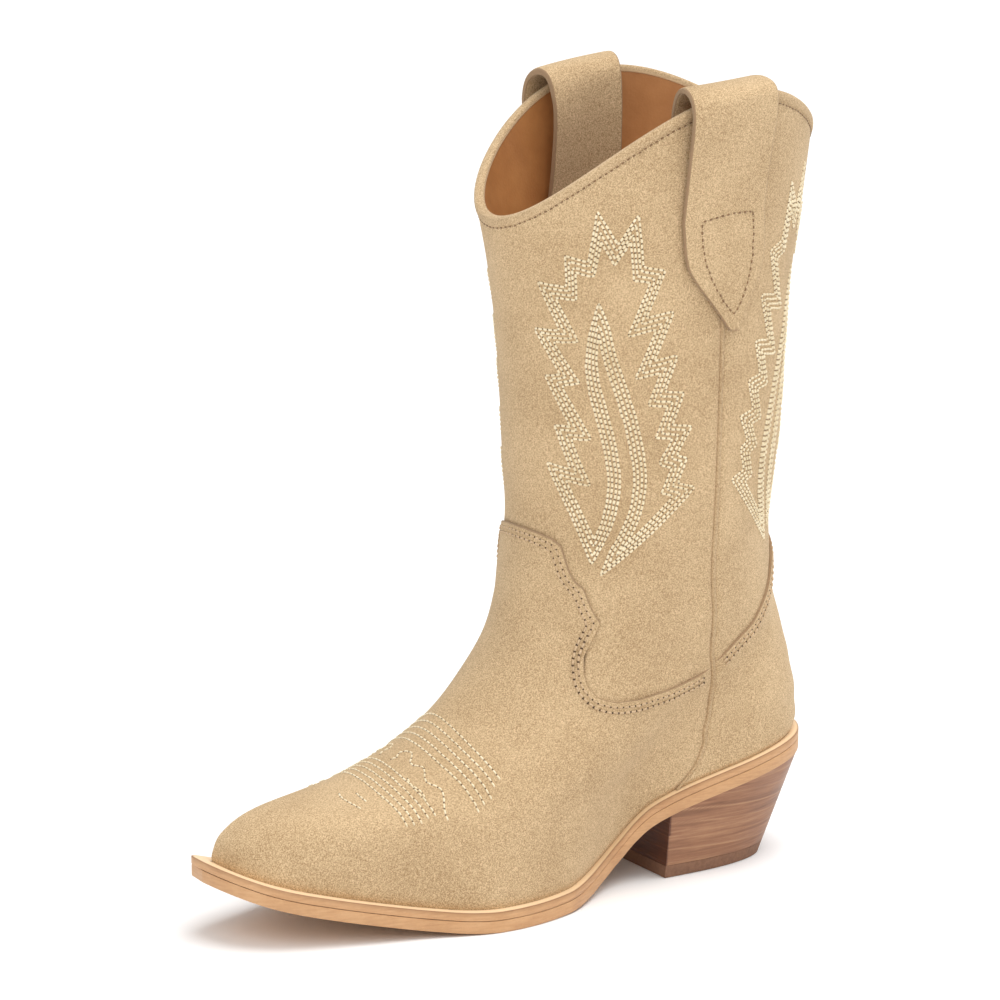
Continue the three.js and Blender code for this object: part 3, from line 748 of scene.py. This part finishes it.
def build_sole():
    layer = sole_layer(ledge, 0, OUTSOLE + 0.2, 240, 14, 0.14)
    make_piece("outsole_leather", *layer, "sole", replaced=["outsole"], crease=30)
    profile = [(0, 4.95), (0, 8.0), (0.45, 8.25), (0.8, 8.2), (0.9, 8.2), (0.96, 8.16), (0.985, 8.05), (1, 7.8),
               (1.0, 6.4), (1.0, 5.1), (0.99, 4.95)]
    # Painted highlight on the top ledge of the welt, where it faces up.
    ledge_highlight_paint = (0, 1, 1, 1, 1, 0.6, 0, 0, 0, 0, 0)
    corner_paint = (0, 0, 0, 0, 0, 0.3, 1, 0.4, 0, 0, 0)

    def place(turn, across, height):
        u = 0.5 - turn
        inset = -np.minimum(6, 3 + ledge(u))
        plan = plan_point(u, lerp(inset, ledge(u), across))
        return np.concatenate([plan, (tread(plan[:, 0]) + height)[:, None]], 1)
    points, faces = ring(profile, 520, place)
    make_piece("welt_leather", points, faces, "sole", replaced=["welt"], crease=30,
               paint={"ledge": np.resize(ledge_highlight_paint, len(points)), "corner": np.resize(corner_paint, len(points))})

    def liner_distance(u):
        return -(FOOT_LINING + LINING + 1.2 + 1.5 * along_share(u) ** 4 + 0.5 + 3 * along_share(u) ** 4)
    layer = sole_layer(liner_distance, BOARD_TOP + 0.3, BOARD_TOP + 1.8, 120, 10, 0.5)
    make_piece("sock_liner_leather", *layer, "lining", replaced=["sock_liner"], crease=50)


# ---- heel
def u_at_x(x):
    low, high = 0.0, 0.5
    for _ in range(30):
        middle = (low + high) / 2
        low, high = (middle, high) if upper(middle, 0)[0] < x else (low, middle)
    return low


HEEL_FRONT_U = u_at_x(HEEL["front"])
LIFT_THICKNESS = 5.6            # thickness of one leather lift of the stack
LIFT_TILT = 0.045               # how much the lifts rise towards the toe


def heel_place(low, high):
    """Places the heel's grid between two heights; high None is the underside of the sole."""
    def place(a, b, c):
        s = 1 - a
        u = lerp(HEEL_FRONT_U, BLUNT, s)
        out, inn = plan_point(u, ledge(u) - HEEL["inset"]), plan_point(-u, ledge(-u) - HEEL["inset"])
        top = lerp(inn, out, b[:, None])
        full = tread(top[:, 0]) - 0.1
        z = lerp(low, full if high is None else high, c)
        turn = s * np.pi * 0.46
        power = 2 / HEEL["squareness"]
        x = HEEL["front"] - (HEEL["front"] - HEEL["back"]) * np.sin(turn) ** power
        y = HEEL["half_width"] * np.cos(turn) ** power * (1 - 0.06 * s) * (2 * b - 1)
        share = z / full
        points = gather(lerp(x, top[:, 0], share), lerp(y, top[:, 1], share), z)
        groove = 0.13 * joint_line(points)
        centre = gather(np.full(len(z), 4.0), np.zeros(len(z)), z)
        return points + unit(centre - points) * groove[:, None]
    return place


def joint_line(points):
    """1 where two lifts of the stack meet, fading within half a millimetre."""
    level = points[:, 2] - LIFT_TILT * points[:, 0] - TOP_LIFT
    off = np.abs((level / LIFT_THICKNESS + 0.5) % 1 - 0.5) * LIFT_THICKNESS
    return np.clip(1 - off / 0.5, 0, 1)


def build_heel():
    across = crowded(20, [0.004, 0.012, 0.03])
    along = crowded(44, [0.003, 0.008, 0.02])
    points, faces = bent_box(along, across, np.linspace(0, 1, 150), heel_place(TOP_LIFT + 0.15, None))
    # The breast mask marks where painted shade darkens the heel breast.
    make_piece("heel_block_leather", points, faces, "heel", replaced=["heel_block"], crease=50,
               paint={"joint": joint_line(points), "breast": points[:, 0] > HEEL["front"] - 0.4})
    lift = bent_box(along, across, [0, 0.08, 0.5, 0.92, 1], heel_place(0, TOP_LIFT))
    make_piece("heel_top_lift_rubber", *lift, "lift", replaced=["heel_top_lift"], crease=50)


# ---- pull straps
STRAP_IN = -(LEATHER + LAYER_GAP + LINING + LAYER_GAP + 1.1)
STRAP_OUT = STRAP["stand_off"] + 1.1
STRAP_PATH = [(STRAP_OUT, -82), (STRAP_OUT, -66), (STRAP_OUT, -50), (STRAP_OUT + 0.3, -34), (STRAP_OUT + 1.8, -19),
              (STRAP_OUT + 3.4, -7), (STRAP_OUT + 3.2, 1), (STRAP_OUT + 0.6, 5.6), (-3.6, 7.75), (-9.4, 5.6),
              (STRAP_IN - 7.6, -1.5), (STRAP_IN - 7.2, -12), (STRAP_IN - 4.4, -26), (STRAP_IN - 1.2, -42),
              (STRAP_IN, -58)]
STRAP_TIP = [(-82, 1), (-80.5, 2.8), (-77.5, 5), (-70, 10.6), (-63, 15.3), (-56, 18.4), (-49, 19), (0, 19)]


def strap_surface(strap, along, offset, lift):
    """A point of a strap: share of the way along, share of its half width, distance from its middle layer."""
    side, centre = strap["side"], strap["centre"]
    path = np.array(STRAP_PATH)

    def line(k, t):
        return spline(path[:, k], t)

    n, height = line(0, along), line(1, along)
    ahead = unit(np.stack([line(k, along + 0.01) - line(k, along - 0.01) for k in (0, 1)], -1))
    outside = along < 0.4
    half = np.where(outside, monotone(STRAP_TIP, height), STRAP["width"] / 2)
    v = np.minimum(1, 1 + height / REACH)
    lean = np.where(outside, np.minimum(0, (height + 40) * STRAP_LEAN), 0)
    u = side * (centre + lean) + offset * half / per_u(centre, v)
    away = n + ahead[..., 1] * lift
    rise = height - ahead[..., 0] * lift
    v = np.minimum(1, 1 + rise / REACH)
    points = skin(u, v, -away)
    above = np.maximum(rise, 0) / STRAP["rise"]
    top = STRAP["top"] - strap["fall"] * (points[..., 0] - upper(side * centre, 1)[0])
    points[..., 2] = lerp(points[..., 2], top, above)
    return points


def build_strap(strap, name, node):
    def place(a, b, c):
        offset = 1 - 2 * a
        edge = np.abs(offset) ** 30
        lift = (0.5 - c) * STRAP["thickness"] * (1 - 0.18 * edge)
        squeeze = 1 - 0.022 * rounded(c)
        return strap_surface(strap, b, offset * squeeze, lift)
    across = crowded(16, [0.006, 0.015, 0.03])
    # Painted dark all round the strap's edges: partly the darker core of the cut edge, partly painted shade for the
    # shadow between strap and shaft.
    points, faces, paint = painted_box(across, np.linspace(0, 1, 190), [0, 0.15, 0.5, 0.85, 1], place,
                                       lambda a, b: np.where((a == 0) | (a == 1) | (b == 0) | (b == 1), 0.95, 0))
    piece = make_piece(name, points, faces, "suede", body=None, replaced=[node], paint=paint, crease=45)
    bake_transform(piece)


# ---- stitching
def walk(points_of, params, spacing):
    """Evenly spaced parameters along a 3-D path given by points_of(params)."""
    points = points_of(params)
    run = running(points)
    count = max(2, int(run[-1] / spacing))
    at = np.linspace(0, run[-1], count)
    return np.stack([np.interp(at, run, params[:, k]) for k in range(params.shape[1])], -1)


def surface_row(depth):
    """How a row of (u, v) points lies on the boot: functions for its points and its normals."""
    return lambda p: skin(p[:, 0], p[:, 1], depth), lambda p: outward(p[:, 0], p[:, 1])


def prisms(rings):
    """Closed six-sided prisms: each ring of a prism is six points, and each point is an array over all prisms."""
    points = np.stack([point for ring_points in rings for point in ring_points], 1)
    count, size = points.shape[:2]
    base = np.arange(count)[:, None] * size
    faces = []
    for level in range(len(rings) - 1):
        for k in range(6):
            a, b = level * 6 + k, level * 6 + (k + 1) % 6
            faces += (base + np.array([[a, b, b + 6, a + 6]])).tolist()
    faces += (base + np.arange(6)[None, ::-1]).tolist() + (base + size - 6 + np.arange(6)[None]).tolist()
    return points.reshape(-1, 3), faces


class Stitches:
    """Collects running stitches and needle holes, and builds one thread piece and one piece of holes: dark discs
    painted as the shade inside them.
    """

    def __init__(self):
        self.starts, self.ends, self.normals, self.holes, self.hole_normals = [], [], [], [], []

    def row(self, path, points_of, normals_of, pitch, gap, phase=0.0):
        fine = walk(points_of, np.asarray(path, float), 0.4)
        points, normals = points_of(fine), normals_of(fine)
        run = running(points)
        first = np.arange(phase * pitch, run[-1] - pitch * 0.6, pitch)
        if not len(first):
            return

        def at(distance, values):
            return np.stack([np.interp(distance, run, values[:, k]) for k in range(3)], -1)
        self.starts.append(at(first + gap / 2, points))
        self.ends.append(at(np.minimum(first + pitch - gap / 2, run[-1]), points))
        self.normals.append(unit(at(first + pitch / 2, normals)))
        self.holes.append(at(first, points))
        self.hole_normals.append(unit(at(first, normals)))

    def build(self, name, material, width, lift=0.16, hole=0.34):
        start, end, normal = (np.concatenate(x) for x in (self.starts, self.ends, self.normals))
        ahead = unit(end - start)
        side = unit(np.cross(normal, ahead))
        count = len(start)
        wobble = rng.normal(0, 0.06, (count, 1))
        scale = 1 + rng.normal(0, 0.05, (count, 1))
        turn = np.arange(6) * np.pi / 3
        rings = []
        for share, rise, size in ((0, -0.12, 0.45), (0.22, lift, 0.95), (0.5, lift * 1.35, 1.05), (0.78, lift, 0.95),
                                  (1, -0.12, 0.45)):
            centre = lerp(start, end, share) + normal * rise + side * wobble
            rings.append([centre + (side * np.cos(k) + normal * np.sin(k) * 0.8) * scale * size * width / 2
                          for k in turn])
        make_piece(name + "_thread", *prisms(rings), material, crease=80)
        # Painted shade: a dark disc sunk at each needle hole stands in for the shade inside it.
        centre, normal = np.concatenate(self.holes), np.concatenate(self.hole_normals)
        side = unit(np.cross(normal, [[0.3, 0.2, 0.9]]))
        other = np.cross(normal, side)
        rings = [[centre + normal * rise + (side * np.cos(k) + other * np.sin(k)) * hole * size for k in turn]
                 for rise, size in ((-0.15, 1.25), (0.05, 0.75))]
        make_piece(name + "_hole_shade", *prisms(rings), "hole", crease=80)


def shifted(path, distance):
    """A (u, v) path moved sideways over the surface by a distance in mm, to the left of its direction."""
    path = np.asarray(path, float)
    points = skin(path[:, 0], path[:, 1], 0.0)
    ahead = unit(np.gradient(points, axis=0))
    aside = np.cross(outward(path[:, 0], path[:, 1]), ahead)
    d = 0.002
    du = (upper(path[:, 0] + d, path[:, 1]) - upper(path[:, 0] - d, path[:, 1])) / (2 * d)
    low, high = np.maximum(path[:, 1] - d, 0), np.minimum(path[:, 1] + d, 1)
    dv = (upper(path[:, 0], high) - upper(path[:, 0], low)) / (high - low)[:, None]
    uu, uv, vv = (du * du).sum(1), (du * dv).sum(1), (dv * dv).sum(1)
    au, av = (aside * du).sum(1) * distance, (aside * dv).sum(1) * distance
    return path + gather(*solve(uu, uv, uv, vv, au, av))


def solve(a, b, c, d, p, q):
    """x and y with a x + b y = p and c x + d y = q."""
    det = a * d - b * c
    det = np.where(np.abs(det) < 1, 1, det)
    return (p * d - b * q) / det, (a * q - c * p) / det


def eased(path, rounds):
    """Rounds off the corners of a path and keeps its ends."""
    path = np.asarray(path, float)
    for _ in range(rounds):
        path[1:-1] = (path[:-2] + 2 * path[1:-1] + path[2:]) / 4
    return path


def corner_spread(path):
    """Sideways directions at the corners of a closed flat path, with the lengthening of each corner."""
    ahead = unit(np.roll(path, -1, axis=0) - path)
    left = gather(-ahead[:, 1], ahead[:, 0])
    bisector = unit(np.roll(left, 1, axis=0) + left)
    return bisector / np.maximum((bisector * left).sum(1), SHARPEST)[:, None]


def offset_closed(path, distance):
    """A closed flat path moved to its left by a distance, with its corners kept sharp."""
    return path + corner_spread(path) * distance


def band_centre(tips, sharp):
    """The middle line of a band whose sharp corners reach out to the given tips."""
    ahead = np.roll(tips, -1, axis=0) - tips
    behind = tips - np.roll(tips, 1, axis=0)
    turn = np.sign(behind[:, 0] * ahead[:, 1] - behind[:, 1] * ahead[:, 0])
    centre = tips.copy()
    for _ in range(8):
        outer = -corner_spread(centre) * (turn * BAND_EDGE)[:, None]
        centre = np.where(sharp[:, None], lerp(centre, tips - outer, 0.5), tips)
    return centre


def dense(path, steps=10):
    """A closed path with points added along it."""
    path = np.vstack([path, path[:1]])
    parts = [lerp(path[i], path[i + 1], np.linspace(0, 1, steps, endpoint=False)[:, None])
             for i in range(len(path) - 1)]
    return np.vstack(parts + [path[-1:]])


def curved(path, steps=5):
    """Points of a smooth stem, without its last stretches before the ends."""
    path = np.asarray(path, float)
    t = np.linspace(0, 1, steps * (len(path) - 1) + 1)[3:-3]
    return np.stack([spline(path[:, k], t) for k in (0, 1)], -1)


# The flame on a shaft panel: mm to the front of its axis, and mm above its lowest tip.
FLAME_FRONT = [(2, 129), (5, 106), (18, 120), (13, 101), (33, 115), (12, 85), (35, 97), (11, 70), (28, 77), (5, 48),
               (22, 57), (5, 31), (25, 43)]
FLAME_TIP = (2, 0)
LEAF_FRONT = [FLAME_TIP, (-4, 26), (-3, 41), (1, 55), (5, 68), (6, 79), (3, 96)]
LEAF_SIDE = [(3, 96), (-1, 77), (-6, 63), (-11, 48), (-14, 33), (-13, 21), (-9, 10), (-2, -5)]
FLAME_SIDE = [(-2, -5), (-35, 24), (-22, 24), (-32, 34), (-21, 34), (-34, 44), (-20, 43), (-31, 55),
              (-17, 54), (-29, 67), (-12, 64), (-28, 81), (-9, 79), (-25, 95), (-12, 97), (-15, 119), (-4, 106)]
FRONT_AXIS = 0.365              # u of the middle of a front flame, and of a back one
BACK_AXIS = 0.105
BACK_FLAME = 0.88               # width of a back flame, as a share of a front one's
FLAME_BASE = 0.607              # v of the lowest tip
FLAME_MM = 366.0                # mm of height for one unit of v on the shaft
BAND_EDGE = 2.15                # from the middle of a band to its outer rows, in mm
BAND_ROWS = (-1, -0.36, 0.36, 1)
FLAME_PITCH = 2.15
FLAME_GAP = 0.42
FLAME_THREAD = 0.95
SHARPEST = 0.33                 # how far a corner may reach out, as the sine of half its angle


def flame_rows():
    """The rows of the flame in its own flat frame, in mm: one closed band round its outline and its leaf."""
    stems = [curved(LEAF_FRONT), curved(LEAF_SIDE)]
    parts = [(FLAME_FRONT + [FLAME_TIP], True), (stems[0], False), ([LEAF_FRONT[-1]], True), (stems[1], False),
             (FLAME_SIDE, True)]
    tips = np.vstack([np.asarray(points, float) for points, _ in parts])
    sharp = np.concatenate([np.full(len(points), corner) for points, corner in parts])
    centre = band_centre(tips, sharp)
    return [dense(offset_closed(centre, row * BAND_EDGE)) for row in BAND_ROWS]


def build_flame(name, axis, ahead, width):
    """One embroidered flame: axis is its u, ahead is +1 or -1 for the way it faces, width scales it."""
    stitches = Stitches()
    points_of, normals_of = surface_row(0.0)
    for number, row in enumerate(flame_rows()):
        v = FLAME_BASE + row[:, 1] / FLAME_MM
        u = axis + ahead * width * row[:, 0] / per_u(axis, v)
        stitches.row(gather(u, v), points_of, normals_of, FLAME_PITCH, FLAME_GAP, 0.5 * (number % 2))
    stitches.build(name, "cream_thread", FLAME_THREAD, hole=0.38)


# Rows over the toe: (x on the ridge, how far the row falls back, half width), in mm.
TOE_ROWS = [(118.5, 7, 38), (121.6, 7.3, 38.5), (124.7, 7.6, 39.5), (127.8, 8, 40.5), (131, 8.4, 41),
            (144.5, 4.5, 36.5), (147.4, 4.5, 36.5), (150.3, 4.5, 36.5), (153.2, 4.5, 36), (156.1, 4.5, 35.5)]
# Loops between and in front of the rows: (x, y) points of one side.
TOE_LOOPS = [[(144, 2), (140, 6), (137, 4), (134.5, 9), (138, 14), (135, 19), (137.5, 25), (134, 31), (136, 37),
              (133.5, 41)],
             [(141, 16), (143, 22), (141, 29), (143, 36)],
             [(164.5, 6), (167.5, 12), (166, 20), (161.5, 30)],
             [(161.5, 8), (161.5, 18), (158.5, 29)]]


def on_vamp(x, y):
    """The (u, v) of plan points on top of the vamp."""
    grid_u, grid_v = np.meshgrid(np.linspace(0.28, 0.72, 180), np.linspace(0.08, 0.5, 120), indexing="ij")
    plan = upper(grid_u.ravel(), grid_v.ravel())[:, :2]
    targets = gather(x, y)
    nearest = np.array([np.argmin(((plan - t) ** 2).sum(1)) for t in targets])
    u, v = grid_u.ravel()[nearest], grid_v.ravel()[nearest]
    d = 1e-4
    for _ in range(6):
        here = upper(u, v)[:, :2]
        du = (upper(u + d, v)[:, :2] - here) / d
        dv = (upper(u, v + d)[:, :2] - here) / d
        step_u, step_v = solve(du[:, 0], dv[:, 0], du[:, 1], dv[:, 1], *(targets - here).T)
        u = u + np.clip(step_u, -0.01, 0.01)
        v = v + np.clip(step_v, -0.01, 0.01)
    return gather(u, v)


def build_toe_stitching():
    stitches = Stitches()
    points_of, normals_of = surface_row(0.0)
    for number, (x, fall, half) in enumerate(TOE_ROWS):
        y = np.linspace(-half, half, 60)
        path = on_vamp(x - fall * np.abs(y / half) ** 2.6, y * np.where(y < 0, 0.8, 1))
        stitches.row(path, points_of, normals_of, 2.6, 0.45, 0.4 * (number % 2))
    for loop in TOE_LOOPS:
        for side in (1, -0.8):
            line = curved([(p[0], p[1] * side) for p in loop])
            stitches.row(on_vamp(line[:, 0], line[:, 1]), points_of, normals_of, 2.5, 0.45)
    stitches.build("toe_stitching", "cream_thread", 0.74, hole=0.4)


def build_seam_rows():
    """Double rows inside the lapped edges of the vamp and the foxing, and the row under the binding."""
    stitches = Stitches()
    s = np.linspace(0.012, 0.988, 700)
    q, v = vamp_edge_points(s)
    edge = gather(front_u(q, v, SEAM_MARGIN), v)
    for distance, rounds in ((2.1, 12), (4.3, 40)):
        row = shifted(eased(edge, rounds), distance)
        stitches.row(row, *surface_row(-PROUD), 2.7, 0.5, 0.5 * (distance > 2))
    q = np.linspace(0.012, 0.988, 400)
    v = mirrored(FOXING_EDGE, q)
    edge = gather(back_u(q, v, SEAM_MARGIN), v)
    for distance in (1.9, 4.0):
        stitches.row(shifted(edge, distance), *surface_row(-PROUD), 2.7, 0.5, 0.5 * (distance > 2))
    stitches.build("seam_stitching", "seam_thread", 0.85, hole=0.45)
    top = Stitches()
    u = np.linspace(0, 1, 900)
    row = gather(u, np.full(len(u), 1 - BINDING_ROW / REACH))
    top.row(row, *surface_row(0.0), 2.5, 1.1)
    top.build("binding_stitching", "dark_thread", 0.6, lift=0.1, hole=0.2)


# The stitched shield of a strap: share of the strap's half width, and height from the top line, in mm.
HALF_SHIELD = [(0.62, -42), (0.63, -49), (0.59, -57), (0.44, -65), (0.22, -72)]
SHIELD = HALF_SHIELD + [(0.0, -76.5)] + [(-x, y) for x, y in reversed(HALF_SHIELD)]


def build_shield(strap, name):
    heights = np.array([p[1] for p in STRAP_PATH])
    t = np.linspace(0, 0.4, 400)
    height_at = spline(heights, t)
    outline = dense(SHIELD, 12)
    widths = outline[:, 0] * STRAP["width"] / 2 / np.maximum(monotone(STRAP_TIP, outline[:, 1]), 1)
    path = gather(widths, np.interp(outline[:, 1], height_at, t))
    above = STRAP["thickness"] / 2

    def points_of(p):
        return strap_surface(strap, p[:, 1], p[:, 0], np.full(len(p), above))

    def normals_of(p):
        return unit(points_of(p) - strap_surface(strap, p[:, 1], p[:, 0], np.zeros(len(p))))
    stitches = Stitches()
    for start, end in ((0, len(path) - 12), (len(path) - 13, len(path))):
        stitches.row(path[start:end], points_of, normals_of, 2.7, 1.2)
    stitches.build(name, "dark_thread", 0.8, lift=0.08, hole=0.2)


# ---- hidden parts
HIDDEN = {"board": ("toe_puff", "heel_counter", "insole_board"), "cork": ("cork_filler",),
          "steel": ("steel_shank", "heel_screw", "heel_nail_back_outer", "heel_nail_back_inner",
                    "heel_nail_front_outer", "heel_nail_front_inner")}


def dress_hidden_nodes():
    for material, nodes in HIDDEN.items():
        for node in nodes:
            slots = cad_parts[node].data.materials
            slots.clear()
            slots.append(MATERIALS[material])


# ---- stage
VIEW = {"yaw": 59.4, "pitch": 12.1, "distance": 1.6, "target": (0.090, 0.0, 0.1554), "lens": 149.2}


def direction(yaw, pitch):
    yaw, pitch = math.radians(yaw), math.radians(pitch)
    return Vector((math.cos(pitch) * math.cos(yaw), math.cos(pitch) * math.sin(yaw), math.sin(pitch)))


def aimed(data, yaw, pitch, distance):
    """A camera or a lamp at a distance from the boot, turned to it."""
    thing = add_object(data.name, data)
    back = direction(yaw, pitch)
    thing.location = Vector(VIEW["target"]) + back * distance
    thing.rotation_euler = (-back).to_track_quat("-Z", "Y").to_euler()
    return thing


def build_camera():
    data = bpy.data.cameras.new("camera")
    data.lens = VIEW["lens"]
    data.sensor_width = 36
    data.clip_end = 50
    bpy.context.scene.camera = aimed(data, VIEW["yaw"], VIEW["pitch"], VIEW["distance"])


def area_light(name, yaw, pitch, distance, size, power):
    data = bpy.data.lights.new(name, "AREA")
    data.size = size
    data.energy = power
    aimed(data, yaw, pitch, distance)


def build_stage():
    m = Material("floor_paper", Specular_IOR_Level=0.1, Roughness=0.9)
    m.colour(m.ramp(m.noise(6, 3), [(0.3, (0.93, 0.93, 0.93)), (0.7, (0.95, 0.95, 0.95))]))
    mesh = bpy.data.meshes.new("floor")
    size = 30
    mesh.from_pydata([(-size, -size, 0), (size, -size, 0), (size, size, 0), (-size, size, 0)], [], [(0, 1, 2, 3)])
    mesh.materials.append(m.material)
    floor = add_object("floor", mesh)
    floor.location.z = -0.0002
    world = bpy.data.worlds.new("studio")
    world.use_nodes = True
    background = world.node_tree.nodes["Background"]
    background.inputs["Color"].default_value = (1, 1, 1, 1)
    background.inputs["Strength"].default_value = 0.5
    bpy.context.scene.world = world
    sun = bpy.data.lights.new("soft_sun", "SUN")
    sun.energy = 2.5
    sun.angle = math.radians(50)
    aimed(sun, 150, 74, 2)
    area_light("key", 70, 42, 1.7, 1.1, 6.5)
    area_light("fill", 20, 35, 1.8, 1.2, 5)
    bpy.context.scene.view_settings.view_transform = "Standard"


build_camera()
build_stage()
build_lapped("vamp_leather", "vamp", crowded(220, [0.002, 0.005, 0.01]), 64, vamp_place)
build_lapped("heel_foxing_leather", "heel_foxing", crowded(110, [0.004, 0.01, 0.02]), 48, foxing_place)
shaft_panel("front_shaft_leather", "front_shaft_panel", front_u, VAMP_LOW, 200)
shaft_panel("back_shaft_leather", "back_shaft_panel", back_u, FOXING_EDGE, 110)
build_piping(1, "outer_piping_leather", "outer_side_piping")
build_piping(-1, "inner_piping_leather", "inner_side_piping")
build_binding()
build_linings()
build_sole()
build_heel()
build_strap(OUTER_STRAP, "outer_strap_leather", "outer_pull_strap")
build_strap(INNER_STRAP, "inner_strap_leather", "inner_pull_strap")
build_flame("flame_front_outer", FRONT_AXIS, 1, 1.0)
build_flame("flame_front_inner", 1 - FRONT_AXIS, -1, 1.0)
build_flame("flame_back_outer", BACK_AXIS, -1, BACK_FLAME)
build_flame("flame_back_inner", -BACK_AXIS, 1, BACK_FLAME)
build_toe_stitching()
build_seam_rows()
build_shield(OUTER_STRAP, "outer_strap_stitching")
build_shield(INNER_STRAP, "inner_strap_stitching")
dress_hidden_nodes()
